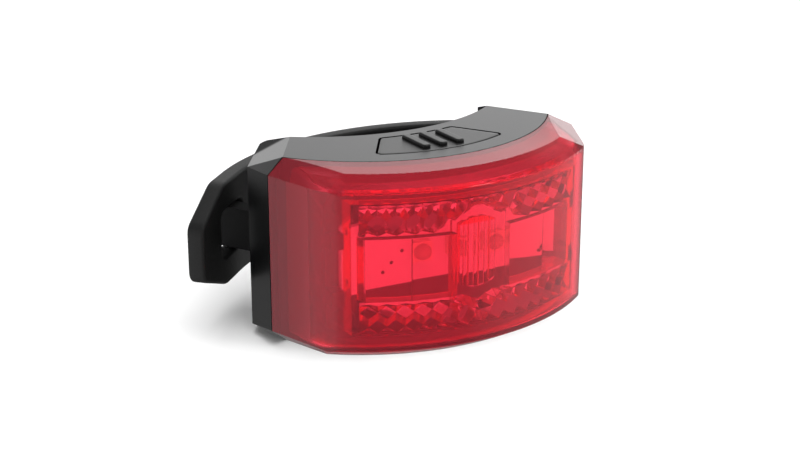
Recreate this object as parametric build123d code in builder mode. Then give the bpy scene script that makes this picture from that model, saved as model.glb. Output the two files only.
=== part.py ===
import os
from math import atan2, cos, degrees, radians, sin, sqrt

from build123d import *

os.makedirs("parts", exist_ok=True)

# Bicycle rear light with a red lens in front, a black housing behind and a rubber seatpost strap.
# X runs to the right as seen from the front, the lens faces -Y, the strap is behind at +Y, and
# the light stands on its underside at Z = 0. The plane X = 0 mirrors the housing and the lens.

# Whole body
height = 33.0
mid_height = height / 2
wall = 2.0
seam_gap = 0.2

# Front, three arcs about one centre on the mirror plane
front_centre_y = 22.3
seam_radius = 33.5
lip_radius = 38.1
front_radius = 42.1
corner_x = 25.9
top_lip_drop = 0.65
bottom_lip_rise = 0.35
top_edge_drop = 2.8
bottom_edge_rise = 2.6
side_seam_drop = 2.0
side_seam_rise = 3.3
end_back_drop = 2.6
end_back_rise = 1.9
front_edge_round = 0.6
cavity_edge_share = 0.6

# Room that cutting shapes reach past a wall, and past the whole body
overrun = 1.0
cut_margin = 6.0
cut_plate = 160.0
cut_depth = 40.0

# Plan corners of the housing: lens seam on the top, lens seam at the side, end face, horn tip, saddle end
seam_top_x = 26.8
seam_side_share = 1.1
seam_reach = 3.0
end_face_x = 30.65
side_seam_y = 0.1
end_face_back_y = 7.9
horn_tip = (22.4, 19.7)
saddle_end_x = 20.3
horn_tip_round = 0.9

# Tongue of the housing below and above the lens's lips
tongue_back_radius = 31.3
tongue_front_radius = 36.8
tongue_half_width = 23.0
tongue_thickness = 1.1
tongue_gap = 0.1

# Saddle for the seatpost, a hollow arc across the back
saddle_radius = 34.0
saddle_centre_y = 39.7

# Reflector block inside the lens, with a clear window each side and a round lens in the middle
block_radius = 37.6
block_half_width = 21.5
block_low = 5.0
block_high = 28.0
window_low = 10.9
window_high = 21.9
window_inner_x = 5.0
window_outer_x = 19.5
window_crease_x = 12.6
centre_lens_radius = 8.6
centre_lens_z = 17.4
centre_lens_depth = 0.9
centre_core_radius = 6.2
centre_core_half_width = 3.3
centre_core_depth = 1.7
flute_pitch = 1.9
flute_radius = 0.55

# Cavity of the lens: thinner under its sloped edges, with rounded ends
lens_edge_wall = 1.2
cavity_end_x = 25.6
cavity_end_radius = 8.0
cavity_edge_round = 1.4

# Push pad on the top face, with three raised bars
pad_front_radius = 29.5
pad_back_radius = 36.6
pad_front_x = 12.5
pad_front_y = -4.3
pad_back_x = 7.2
pad_gap = 0.3
pad_round = 0.9
pad_flange = 0.8
pad_flange_thickness = 1.1
pad_travel = 0.4
bar_pitch = 3.35
bar_width = 1.6
bar_front_y = -5.6
bar_back_y = 2.1
bar_height = 0.65
bar_corner_round = 0.56
bar_top_round = 0.325

# Strap: a flat band on a wide arc behind the post, a tight arc to its pin and a straight pull tab
strap_centre = (3.0, -11.5)
strap_radius = 44.75
strap_half = 1.55
strap_low = 7.1
strap_high = 25.7
tab_angle = 44.5
tab_length = 16.9
tab_full_length = 6.6
tab_tip_low = 11.2
tab_tip_high = 20.9
tight_start_angle = 25.0
eye_radius = 2.7
eye_low = 9.6
eye_high = 23.2
slot_start = -1.8
slot_end = 8.3
slot_low = 12.3
slot_high = 20.7
slot_corner = 1.2

# Pin that the strap turns on, between two ears of the housing
pin_radius = 1.2
pin_stand_off = 4.4
pin_low = 6.6
pin_high = 26.2
pin_chamfer = 0.2
ear_radius = 3.0
ear_thickness = 2.7
ear_root = 1.4
ear_clearance = 1.4

# Hook for the strap on the other horn
hook_base = (-26.0, 14.5)
hook_lean = 30.0
hook_half_width = 1.8
hook_root = 1.5
hook_length = 9.3
hook_lip = 0.8
hook_lip_thickness = 1.4
hook_nose = 0.32
hook_low = 12.8
hook_high = 20.2
strap_side_gap = 0.3

# Gaps and seal
fit_gap = 0.02
running_gap = 0.06
seal_inset = 0.5
seal_inner_edge = 0.3

# Lamp board with its lamps, resistors and stakes
board_front_y = -8.0
board_thickness = 1.2
board_half_width = 21.5
board_low = 11.0
board_high = 23.0
board_corner = 0.8
board_stake_x = 17.6
board_stake_z = (12.5, 21.5)
board_stake_radius = 0.6
board_stake_end = 0.4
led_x = (-6.4, 0.0, 6.4)
led_width = 3.5
led_height = 1.2
led_corner = 0.3
dome_radius = 1.4
resistor_x = (7.8, 11.0, 14.2)
resistor_z = 22.0
resistor_size = (1.6, 0.8, 0.45)

# Carrier behind the lamp board, its end tabs, its bosses and screws
carrier_thickness = 1.2
carrier_half_width = 23.6
carrier_low = 4.4
carrier_high = 28.6
carrier_corner = 2.0
ribbon_slot_width = 9.0
ribbon_slot_height = 2.2
tab_z = (11.0, 21.0)
tab_gap = 0.2
tab_thickness = 2.0
tab_height = 2.7
tab_reach = 2.6
boss_radius = 2.1
boss_length = 16.1
screw_x = 20.5
screw_z = (6.7, 26.3)
screw_shank_radius = 0.95
screw_clearance = 0.15
screw_length = 7.0
screw_end_gap = 0.5
screw_head_radius = 1.8
screw_head_height = 1.2
screw_head_round = 0.4
cross_length = 2.0
cross_width = 0.45
cross_depth = 0.6

# Cell, its foam pad and its leads
cell_half_length = 17.5
cell_low = 4.2
cell_high = 21.2
cell_front_y = -3.6
cell_back_y = 2.4
cell_corner = 1.2
cell_edge_round = 0.9
battery_pad_half = 11.0
battery_pad_half_height = 6.0
lead_radius = 0.5
lead_start_y = -0.6
lead_x = 19.6
lead_z = (10.9, 12.6)
lead_bend = 0.9

# Push switch, its board and the retainer under the pad
switch_y = -1.6
switch_board_z = 22.4
switch_board_thickness = 1.0
switch_board_half_width = 9.2
switch_board_depth = 7.4
switch_side = 6.0
switch_height = 3.4
switch_corner = 0.4
plunger_radius = 1.75
plunger_depth = 1.6
plunger_room = 0.2
plunger_top = 27.6
post_radius = 1.5
post_gap = 0.6
retainer_top = 29.4
retainer_thickness = 1.1
retainer_front_y = -5.2
retainer_back_y = 2.0
retainer_half_width = 18.0
retainer_corner = 1.5
retainer_leg_x = 8.2
retainer_leg_width = 1.4
retainer_leg_depth = 5.0
stake_x = 15.8
stake_y = -1.6
stake_radius = 0.9
stake_end = 0.5
stake_shoulder_radius = 1.6
chip_side = 4.0
chip_height = 0.9
inductor_x = 5.2
inductor_width = 2.4
inductor_depth = 3.0
inductor_height = 1.4
inductor_corner = 0.5
ribbon_width = 8.0
ribbon_thickness = 0.3
ribbon_rise = 0.35

# Charge socket and its flap in the right end face
port_y = 4.0
port_z = 16.4
socket_width = 9.0
socket_height = 3.2
socket_length = 7.2
socket_clearance = 0.6
socket_wall = 0.35
socket_back = 1.0
socket_tongue_thickness = 0.7
socket_tongue_width = 6.6
flap_half_width = 2.3
flap_low = 9.4
flap_high = 22.4
flap_thickness = 1.0
flap_gap = 0.3
flap_pivot_x = 30.15
flap_pivot_z = 9.9
stub_length = 0.8
stub_radius = 0.4
plug_depth = 1.0
plug_clearance = 0.2
socket_front_x = 28.5
charge_board_left = 18.6
charge_board_right = 28.4
charge_board_low = 9.8
charge_board_high = 23.0
charge_board_y = 5.6
charge_board_thickness = 1.0
charge_board_corner = 0.6
ledge_height = 1.2
ledge_depth = 3.0
ledge_start = 5.0
capacitor_x = 20.2
capacitor_z = (15.4, 17.6, 19.8)
capacitor_size = (1.6, 0.9, 0.9)

# Points worked out from the sizes above
front_y = front_centre_y - front_radius
corner = (corner_x, front_centre_y - sqrt(front_radius**2 - corner_x**2))
side_seam = (end_face_x, side_seam_y)
end_back = (end_face_x, end_face_back_y)
saddle_end = (saddle_end_x, saddle_centre_y - sqrt(saddle_radius**2 - saddle_end_x**2))
seam_top = (seam_top_x, front_centre_y - sqrt(seam_radius**2 - seam_top_x**2))
top_edge = height - top_edge_drop
bottom_edge = bottom_edge_rise
side_seam_heights = (side_seam_rise, height - side_seam_drop)
end_back_heights = (end_back_rise, height - end_back_drop)
carrier_front_y = board_front_y + board_thickness
carrier_back_y = carrier_front_y + carrier_thickness
board_stakes = [(side * board_stake_x, z) for side in (-1, 1) for z in board_stake_z]
resistor_points = [(side * x, resistor_z) for side in (-1, 1) for x in resistor_x]
capacitor_points = [(capacitor_x, z) for z in capacitor_z]
horn_mid = ((horn_tip[0] + end_back[0]) / 2, (horn_tip[1] + end_back[1]) / 2)
horn_length = sqrt((horn_tip[0] - end_back[0]) ** 2 + (horn_tip[1] - end_back[1]) ** 2)
horn_normal = ((horn_tip[1] - end_back[1]) / horn_length, (end_back[0] - horn_tip[0]) / horn_length)
pin = (horn_mid[0] + pin_stand_off * horn_normal[0], horn_mid[1] + pin_stand_off * horn_normal[1])


def mirrored(points):
    """The same plan points on the other side of X = 0, in reverse order."""
    return [(-x, y) for x, y in reversed(points)]


def cut_plane(a, b, c, inset, side):
    """Plane through three points of the right side, moved inwards, its normal pointing out of the body."""
    points = [Vector(side * p[0], p[1], p[2]) for p in (a, b, c)]
    normal = (points[1] - points[0]).cross(points[2] - points[0]).normalized()
    outwards = points[0] - Vector(0, 0, mid_height)
    if normal.dot(outwards) < 0:
        normal = -normal
    origin = points[0] - normal * inset
    return Plane(origin=origin, x_dir=points[1] - points[0], z_dir=normal)


def body_shape(inset):
    """Outer form of housing and lens together, or the same form drawn in evenly by an inset."""
    with BuildPart() as shape:
        with BuildSketch(Plane.XY.offset(inset)):
            with BuildLine():
                ThreePointArc((-corner[0], corner[1]), (0, front_y), corner)
                Polyline(corner, side_seam, end_back, horn_tip, saddle_end)
                saddle_mid = (0, saddle_centre_y - saddle_radius)
                ThreePointArc(saddle_end, saddle_mid, (-saddle_end[0], saddle_end[1]))
                Polyline(*mirrored([corner, side_seam, end_back, horn_tip, saddle_end]))
            make_face()
            if inset:
                offset(amount=-inset, kind=Kind.INTERSECTION)
        extrude(amount=height - 2 * inset)
        if not inset:
            tips = shape.edges().filter_by(Axis.Z).sort_by(Axis.Y)[-2:]
            fillet(tips, horn_tip_round)
        for lip, edge, flat, up in (
            (height - top_lip_drop, top_edge, height, 1),
            (bottom_lip_rise, bottom_edge, 0, -1),
        ):
            beyond = flat + up
            inner_edge = edge - up * inset * cavity_edge_share
            with BuildSketch(Plane.XZ.offset(-front_centre_y)) as profile:
                with BuildLine():
                    Polyline(
                        (seam_radius - inset, flat - up * inset),
                        (lip_radius - inset, lip - up * inset),
                        (front_radius - inset, inner_edge),
                        (front_radius - inset, inner_edge - up * front_edge_round),
                        (front_radius + cut_margin, inner_edge - up * front_edge_round),
                        (front_radius + cut_margin, beyond),
                        (seam_radius - inset, beyond),
                        close=True,
                    )
                make_face()
                if not inset:
                    turns = profile.vertices().sort_by_distance((lip_radius, lip, 0))[:1]
                    turns += profile.vertices().sort_by_distance((front_radius, edge, 0))[:1]
                    fillet(turns, front_edge_round)
            revolve(axis=Axis((0, front_centre_y, 0), (0, 0, 1)), revolution_arc=360, mode=Mode.SUBTRACT)
            for side in (-1, 1):
                seam_point = (*seam_top, flat)
                front_corner = (*corner, edge)
                seam_side = (*side_seam, side_seam_heights[up > 0])
                back_corner = (*end_back, end_back_heights[up > 0])
                saddle_point = (*saddle_end, flat)
                for three in (
                    (seam_point, front_corner, seam_side),
                    (seam_point, seam_side, back_corner),
                    (seam_point, back_corner, saddle_point),
                ):
                    with BuildSketch(cut_plane(*three, inset, side)):
                        Rectangle(cut_plate, cut_plate)
                    extrude(amount=cut_depth, mode=Mode.SUBTRACT)
    return shape.part


def front_zone(gap):
    """Everything in front of the seam between lens and housing, moved forwards by a gap."""
    radius = seam_radius + gap
    top = (seam_top_x, front_centre_y - sqrt(radius**2 - seam_top_x**2))
    side = (side_seam[0], side_seam[1] - seam_side_share * gap)
    beyond = (top[0] + seam_reach * (side[0] - top[0]), top[1] + seam_reach * (side[1] - top[1]))
    far_y = front_y - cut_margin
    with BuildPart() as zone:
        with BuildSketch(Plane.XY.offset(-cut_margin)):
            with BuildLine():
                ThreePointArc((-top[0], top[1]), (0, front_centre_y - radius), top)
                Polyline(
                    top,
                    beyond,
                    (beyond[0], far_y),
                    (-beyond[0], far_y),
                    (-beyond[0], beyond[1]),
                    (-top[0], top[1]),
                )
            make_face()
        extrude(amount=height + 2 * cut_margin)
    return zone.part


def lens_cavity():
    """Room inside the lens: even behind the front, with a wide round at each end, open at the back."""
    front = front_radius - wall
    end_x = cavity_end_x - cavity_end_radius
    end_y = front_centre_y - sqrt((front - cavity_end_radius) ** 2 - end_x**2)
    touch_angle = atan2(end_x, front_centre_y - end_y)
    touch = (front * sin(touch_angle), front_centre_y - front * cos(touch_angle))
    mid_angle = (touch_angle + radians(90)) / 2
    mid = (end_x + cavity_end_radius * sin(mid_angle), end_y - cavity_end_radius * cos(mid_angle))
    with BuildPart() as cavity:
        with BuildSketch(Plane.XY.offset(wall)):
            with BuildLine():
                ThreePointArc((-touch[0], touch[1]), (0, front_centre_y - front), touch)
                ThreePointArc(touch, mid, (cavity_end_x, end_y))
                Polyline(
                    (cavity_end_x, end_y),
                    (cavity_end_x, end_face_back_y),
                    (-cavity_end_x, end_face_back_y),
                    (-cavity_end_x, end_y),
                )
                ThreePointArc((-cavity_end_x, end_y), (-mid[0], mid[1]), (-touch[0], touch[1]))
            make_face()
        extrude(amount=height - 2 * wall)
        fillet(cavity.faces().filter_by(Axis.Z).edges(), cavity_edge_round)
        add(body_shape(lens_edge_wall), mode=Mode.INTERSECT)
    return cavity.part


def window_pane(side):
    """Plan of a window's pane, whose inner face is two flats that meet in an upright crease."""
    inner = front_radius - wall
    points = []
    for x in (window_inner_x, window_crease_x, window_outer_x):
        points.append((x, front_centre_y - sqrt(inner**2 - x**2)))
    outer = [(x, y - wall / 2) for x, y in reversed(points)]
    with BuildSketch(Plane.XY.offset(window_low)) as pane:
        with BuildLine():
            Polyline(*[(side * x, y) for x, y in points + outer], close=True)
        make_face()
    return pane.sketch


def pad_outline(grow):
    """Closed plan outline of the push pad, grown outwards evenly."""
    with BuildSketch() as outline:
        with BuildLine():
            front_left = (-pad_front_x, pad_front_y)
            front_right = (pad_front_x, pad_front_y)
            back_y = saddle_centre_y - sqrt(pad_back_radius**2 - pad_back_x**2)
            ThreePointArc(front_left, (0, front_centre_y - pad_front_radius), front_right)
            Line(front_right, (pad_back_x, back_y))
            ThreePointArc((pad_back_x, back_y), (0, saddle_centre_y - pad_back_radius), (-pad_back_x, back_y))
            Line((-pad_back_x, back_y), front_left)
        make_face()
        fillet(outline.vertices(), pad_round)
        if grow:
            offset(amount=grow)
    return outline.sketch


def on_strap(angle, radius):
    """Plan point on the strap's wide arc, at an angle from +Y towards +X."""
    return (
        strap_centre[0] + radius * sin(radians(angle)),
        strap_centre[1] + radius * cos(radians(angle)),
    )


def band_sector(x_from, x_to, low, high):
    """Piece of the reflector block between two X positions and two heights."""
    with BuildPart() as sector:
        with BuildSketch(Plane.XY.offset(low)):
            with Locations((0, front_centre_y)):
                Circle(front_radius - wall / 2)
                Circle(block_radius, mode=Mode.SUBTRACT)
            with Locations(((x_from + x_to) / 2, corner[1])):
                Rectangle(x_to - x_from, cut_depth, mode=Mode.INTERSECT)
        extrude(amount=high - low)
    return sector.part


def facing_front(y):
    """Upright plane at a depth, seen from the front: local X is X and local Y is Z."""
    return Plane.XZ.offset(-y)


def facing_right(x):
    """Upright plane at an X position: local X is Y and local Y is Z."""
    return Plane.YZ.offset(x)


body = body_shape(0)
hollow = body_shape(wall)
window_mid = (window_low + window_high) / 2

# Lens cover, clear red plastic: a shell with a thick reflector block inside its front wall
with BuildPart() as lens_cover:
    add(body)
    add(front_zone(seam_gap / 2), mode=Mode.INTERSECT)
    add(lens_cavity(), mode=Mode.SUBTRACT)
    for side in (-1, 1):
        add(window_pane(side))
    extrude(amount=window_high - window_low)
    add(band_sector(-block_half_width, block_half_width, block_low, window_low))
    add(band_sector(-block_half_width, block_half_width, window_high, block_high))
    add(band_sector(-block_half_width, -window_outer_x, window_low, window_high))
    add(band_sector(-window_inner_x, window_inner_x, window_low, window_high))
    add(band_sector(window_outer_x, block_half_width, window_low, window_high))
    # Round centre lens between the windows, its deeper core and the upright flutes in the core
    block_back_y = front_centre_y - block_radius
    for radius, half_width, depth in (
        (centre_lens_radius, window_inner_x, centre_lens_depth),
        (centre_core_radius, centre_core_half_width, centre_core_depth),
    ):
        with BuildSketch(facing_front(front_y + wall / 2)):
            with Locations((0, centre_lens_z)):
                Circle(radius)
                Rectangle(2 * half_width, 2 * radius, mode=Mode.INTERSECT)
        extrude(amount=-(block_back_y + depth - front_y - wall / 2))
    with BuildSketch(Plane.XY.offset(centre_lens_z - centre_core_radius - overrun)):
        with Locations((0, block_back_y + centre_core_depth)):
            with GridLocations(flute_pitch, 1, 3, 1):
                Circle(flute_radius)
    extrude(amount=2 * (centre_core_radius + overrun), mode=Mode.SUBTRACT)
lens_cover.part.label = "lens_cover"
export_step(lens_cover.part, "parts/lens_cover.step")

# Seal, a thin ring of soft rubber in the seam between lens and housing
with BuildPart() as lens_seal:
    add(body_shape(seal_inset))
    add(front_zone(-seam_gap / 2), mode=Mode.INTERSECT)
    add(front_zone(seam_gap / 2), mode=Mode.SUBTRACT)
    add(body_shape(wall - seal_inner_edge), mode=Mode.SUBTRACT)
lens_seal.part.label = "lens_seal"
export_step(lens_seal.part, "parts/lens_seal.step")

# Rear housing, black moulded plastic
flange_top = height - wall
stake_points = [(-stake_x, stake_y), (stake_x, stake_y)]
hook_dir = Vector(-sin(radians(hook_lean)), cos(radians(hook_lean)))
hook_side = Vector(-cos(radians(hook_lean)), -sin(radians(hook_lean)))
horn_angle = degrees(atan2(horn_normal[1], horn_normal[0]))


def hook_point(along, across):
    """Plan point of the strap hook, along its lean and across it towards the tab's tip."""
    place = Vector(*hook_base) + hook_dir * along + hook_side * across
    return (place.X, place.Y)


with BuildPart() as rear_housing:
    add(body)
    add(front_zone(-seam_gap / 2), mode=Mode.SUBTRACT)
    add(hollow, mode=Mode.SUBTRACT)
    # Tongue inside the lens's top and bottom, joined to the roof and the floor behind the seam
    for low, front_low in (
        (height - wall - tongue_thickness, height - wall - tongue_thickness - tongue_gap),
        (wall, wall + tongue_gap),
    ):
        for radius, start in ((seam_radius - seam_gap / 2, low), (tongue_front_radius, front_low)):
            with BuildSketch(Plane.XY.offset(start)):
                with Locations((0, front_centre_y)):
                    Circle(radius)
                    Circle(tongue_back_radius, mode=Mode.SUBTRACT)
                with Locations((0, front_centre_y - tongue_front_radius)):
                    Rectangle(2 * tongue_half_width, tongue_front_radius, mode=Mode.INTERSECT)
            extrude(amount=tongue_thickness)
    # Bosses that carry the board carrier
    boss_points = [(side * screw_x, z) for side in (-1, 1) for z in screw_z]
    with BuildSketch(facing_front(carrier_back_y)):
        with Locations(*boss_points):
            Circle(boss_radius)
    extrude(amount=-boss_length)
    with BuildSketch(facing_front(carrier_back_y)):
        with Locations(*boss_points):
            Circle(screw_shank_radius + fit_gap)
    extrude(amount=-screw_length, mode=Mode.SUBTRACT)
    # Stakes in the roof that carry the pad's retainer
    with BuildSketch(Plane.XY.offset(flange_top + wall / 2)):
        with Locations(*stake_points):
            Circle(stake_shoulder_radius)
    extrude(amount=-(flange_top + wall / 2 - retainer_top))
    with BuildSketch(Plane.XY.offset(flange_top)):
        with Locations(*stake_points):
            Circle(stake_radius)
    extrude(amount=-(flange_top - retainer_top + retainer_thickness + stake_end))
    # Ledges above and below the charging board
    with BuildSketch(facing_right(charge_board_left + ledge_start)):
        for z in (charge_board_low - ledge_height / 2, charge_board_high + ledge_height / 2):
            with Locations((charge_board_y + charge_board_thickness / 2, z)):
                Rectangle(ledge_depth, ledge_height)
    extrude(amount=end_face_x - wall / 2 - charge_board_left - ledge_start)
    # Opening for the push pad, and room for its flange below the roof
    with BuildSketch(Plane.XY.offset(flange_top - overrun)):
        add(pad_outline(pad_gap))
    extrude(amount=wall + 2 * overrun, mode=Mode.SUBTRACT)
    with BuildSketch(Plane.XY.offset(flange_top)):
        add(pad_outline(pad_flange + pad_gap))
    extrude(amount=-(flange_top - retainer_top), mode=Mode.SUBTRACT)
    # Recess and opening for the charge socket and its flap
    flap_mid = (flap_low + flap_high) / 2
    with BuildSketch(facing_right(end_face_x)):
        with Locations((port_y, flap_mid)):
            Rectangle(2 * (flap_half_width + flap_gap), flap_high - flap_low + 2 * flap_gap)
    extrude(amount=-(flap_thickness + flap_gap), mode=Mode.SUBTRACT)
    with BuildSketch(facing_right(end_face_x - wall - overrun)):
        with Locations((port_y, port_z)):
            SlotOverall(socket_width + socket_clearance, socket_height + socket_clearance, rotation=90)
    extrude(amount=wall + overrun, mode=Mode.SUBTRACT)
    with BuildSketch(facing_front(port_y - flap_half_width - flap_gap - stub_length)):
        with Locations((flap_pivot_x, flap_pivot_z)):
            Circle(stub_radius + running_gap)
    extrude(amount=-2 * (flap_half_width + flap_gap + stub_length), mode=Mode.SUBTRACT)
    # Two ears for the strap's pin on the right horn
    for low in (eye_low - strap_side_gap - ear_thickness, eye_high + strap_side_gap):
        with BuildSketch(Plane.XY.offset(low)):
            with Locations(pin):
                Circle(ear_radius)
            with Locations(Location((pin[0], pin[1]), horn_angle)):
                with Locations((-(pin_stand_off + ear_root) / 2, 0)):
                    Rectangle(pin_stand_off + ear_root, 2 * ear_radius)
            with Locations(pin):
                Circle(pin_radius + fit_gap, mode=Mode.SUBTRACT)
        extrude(amount=ear_thickness)
    # Hook for the strap's slot on the left horn, leaning back, with a small lip at its end
    with BuildSketch(Plane.XY.offset(hook_low)):
        with BuildLine():
            Polyline(
                hook_point(-hook_root, -hook_half_width),
                hook_point(hook_length, -hook_half_width),
                hook_point(hook_length, hook_half_width + hook_nose),
                hook_point(hook_length - hook_lip_thickness / 2, hook_half_width + hook_lip),
                hook_point(hook_length - hook_lip_thickness, hook_half_width + hook_lip),
                hook_point(hook_length - hook_lip_thickness, hook_half_width),
                hook_point(-hook_root, hook_half_width),
                close=True,
            )
        make_face()
    extrude(amount=hook_high - hook_low)
rear_housing.part.label = "rear_housing"
export_step(rear_housing.part, "parts/rear_housing.step")

# Push pad with its three bars, its flange below the roof and its post down to the switch
with BuildPart() as button_pad:
    with BuildSketch(Plane.XY.offset(flange_top)):
        add(pad_outline(0))
    extrude(amount=wall)
    with BuildSketch(Plane.XY.offset(flange_top)):
        add(pad_outline(pad_flange))
    extrude(amount=-pad_flange_thickness)
    with BuildSketch(Plane.XY.offset(flange_top - pad_flange_thickness)):
        with Locations((0, switch_y)):
            Circle(post_radius)
    extrude(amount=-(flange_top - pad_flange_thickness - plunger_top))
    with BuildSketch(Plane.XY.offset(height)):
        with Locations((0, (bar_front_y + bar_back_y) / 2)):
            with GridLocations(bar_pitch, 1, 3, 1):
                RectangleRounded(bar_width, bar_back_y - bar_front_y, bar_corner_round)
    extrude(amount=bar_height)
    bar_tops = button_pad.faces().sort_by(Axis.Z)[-3:]
    fillet(bar_tops.edges(), bar_top_round)
button_pad.part.label = "button_pad"
export_step(button_pad.part, "parts/button_pad.step")

# Retainer that closes the pad in from below, with two legs down to the switch board
with BuildPart() as button_retainer:
    with BuildSketch(Plane.XY.offset(retainer_top - retainer_thickness)):
        with Locations((0, (retainer_front_y + retainer_back_y) / 2)):
            RectangleRounded(2 * retainer_half_width, retainer_back_y - retainer_front_y, retainer_corner)
        with Locations((0, switch_y)):
            Circle(post_radius + post_gap, mode=Mode.SUBTRACT)
        with Locations(*stake_points):
            Circle(stake_radius + fit_gap, mode=Mode.SUBTRACT)
    extrude(amount=retainer_thickness)
    with BuildSketch(Plane.XY.offset(switch_board_z + switch_board_thickness)):
        for side in (-1, 1):
            with Locations((side * retainer_leg_x, switch_y)):
                Rectangle(retainer_leg_width, retainer_leg_depth)
    extrude(amount=retainer_top - retainer_thickness - switch_board_z - switch_board_thickness)
button_retainer.part.label = "button_retainer"
export_step(button_retainer.part, "parts/button_retainer.step")

# Small board that carries the push switch
with BuildPart() as switch_board:
    with BuildSketch(Plane.XY.offset(switch_board_z)):
        with Locations((0, switch_y)):
            RectangleRounded(2 * switch_board_half_width, switch_board_depth, board_corner)
    extrude(amount=switch_board_thickness)
switch_board.part.label = "switch_board"
export_step(switch_board.part, "parts/switch_board.step")

# Push switch: its square body with a well for the plunger
switch_bottom = switch_board_z + switch_board_thickness
with BuildPart() as switch_body:
    with BuildSketch(Plane.XY.offset(switch_bottom)):
        with Locations((0, switch_y)):
            RectangleRounded(switch_side, switch_side, switch_corner)
    extrude(amount=switch_height)
    with BuildSketch(Plane.XY.offset(switch_bottom + switch_height)):
        with Locations((0, switch_y)):
            Circle(plunger_radius + running_gap)
    extrude(amount=-plunger_depth, mode=Mode.SUBTRACT)
switch_body.part.label = "switch_body"
export_step(switch_body.part, "parts/switch_body.step")

# Plunger of the switch, which the pad's post pushes down
with BuildPart() as switch_plunger:
    with BuildSketch(Plane.XY.offset(plunger_top)):
        with Locations((0, switch_y)):
            Circle(plunger_radius)
    extrude(amount=-(plunger_top - switch_bottom - switch_height + plunger_depth - pad_travel - plunger_room))
switch_plunger.part.label = "switch_plunger"
export_step(switch_plunger.part, "parts/switch_plunger.step")

# Driver chip under the switch board, and the inductor beside the switch
with BuildPart() as driver_chip:
    with BuildSketch(Plane.XY.offset(switch_board_z)):
        with Locations((0, switch_y)):
            Rectangle(chip_side, chip_side)
    extrude(amount=-chip_height)
driver_chip.part.label = "driver_chip"
export_step(driver_chip.part, "parts/driver_chip.step")

with BuildPart() as power_inductor:
    with BuildSketch(Plane.XY.offset(switch_bottom)):
        with Locations((inductor_x, switch_y)):
            RectangleRounded(inductor_width, inductor_depth, inductor_corner)
    extrude(amount=inductor_height)
power_inductor.part.label = "power_inductor"
export_step(power_inductor.part, "parts/power_inductor.step")

# Flat cable from the switch board forwards to the lamp board
with BuildPart() as switch_ribbon:
    ribbon_back_y = switch_y - switch_board_depth / 2
    with BuildSketch(Plane.XY.offset(switch_board_z + ribbon_rise)):
        with Locations((0, (ribbon_back_y + board_front_y + board_thickness) / 2)):
            Rectangle(ribbon_width, ribbon_back_y - board_front_y - board_thickness)
    extrude(amount=ribbon_thickness)
switch_ribbon.part.label = "switch_ribbon"
export_step(switch_ribbon.part, "parts/switch_ribbon.step")

# Carrier for the lamp board: a black plate with end tabs, stakes and a gap for the flat cable
with BuildPart() as board_carrier:
    carrier_mid = (carrier_low + carrier_high) / 2
    with BuildSketch(facing_front(carrier_front_y)):
        with Locations((0, carrier_mid)):
            RectangleRounded(2 * carrier_half_width, carrier_high - carrier_low, carrier_corner)
        with Locations(*boss_points):
            Circle(screw_shank_radius + screw_clearance, mode=Mode.SUBTRACT)
        with Locations((0, switch_board_z + switch_board_thickness / 2)):
            Rectangle(ribbon_slot_width, ribbon_slot_height, mode=Mode.SUBTRACT)
    extrude(amount=-carrier_thickness)
    with BuildSketch(facing_front(carrier_front_y)):
        for side in (-1, 1):
            for z in tab_z:
                with Locations((side * (board_half_width + tab_gap + tab_thickness / 2), z)):
                    Rectangle(tab_thickness, tab_height)
    extrude(amount=tab_reach)
    with BuildSketch(facing_front(carrier_front_y)):
        with Locations(*board_stakes):
            Circle(board_stake_radius)
    extrude(amount=board_thickness + board_stake_end)
board_carrier.part.label = "board_carrier"
export_step(board_carrier.part, "parts/board_carrier.step")

# Lamp board
with BuildPart() as led_board:
    with BuildSketch(facing_front(board_front_y)):
        with Locations((0, (board_low + board_high) / 2)):
            RectangleRounded(2 * board_half_width, board_high - board_low, board_corner)
        with Locations(*board_stakes):
            Circle(board_stake_radius + fit_gap, mode=Mode.SUBTRACT)
    extrude(amount=-board_thickness)
led_board.part.label = "led_board"
export_step(led_board.part, "parts/led_board.step")

# Three lamps, each a square package, and the clear domes on them
for name, x in zip(("led_left", "led_centre", "led_right"), led_x):
    with BuildPart() as led:
        with BuildSketch(facing_front(board_front_y)):
            with Locations((x, window_mid)):
                RectangleRounded(led_width, led_width, led_corner)
        extrude(amount=led_height)
    led.part.label = name
    export_step(led.part, f"parts/{name}.step")

with BuildPart() as led_domes:
    for x in led_x:
        with BuildSketch(Plane.YZ.offset(x)):
            with BuildLine():
                dome_base = board_front_y - led_height
                Line((dome_base, window_mid), (dome_base, window_mid + dome_radius))
                ThreePointArc(
                    (dome_base, window_mid + dome_radius),
                    (dome_base - dome_radius * sin(radians(45)), window_mid + dome_radius * cos(radians(45))),
                    (dome_base - dome_radius, window_mid),
                )
                Line((dome_base - dome_radius, window_mid), (dome_base, window_mid))
            make_face()
        revolve(axis=Axis((x, 0, window_mid), (0, 1, 0)))
led_domes.part.label = "led_domes"
export_step(led_domes.part, "parts/led_domes.step")

# Small chip resistors on the lamp board
with BuildPart() as board_resistors:
    with BuildSketch(facing_front(board_front_y)):
        with Locations(*resistor_points):
            Rectangle(resistor_size[0], resistor_size[1])
    extrude(amount=resistor_size[2])
board_resistors.part.label = "board_resistors"
export_step(board_resistors.part, "parts/board_resistors.step")

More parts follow.
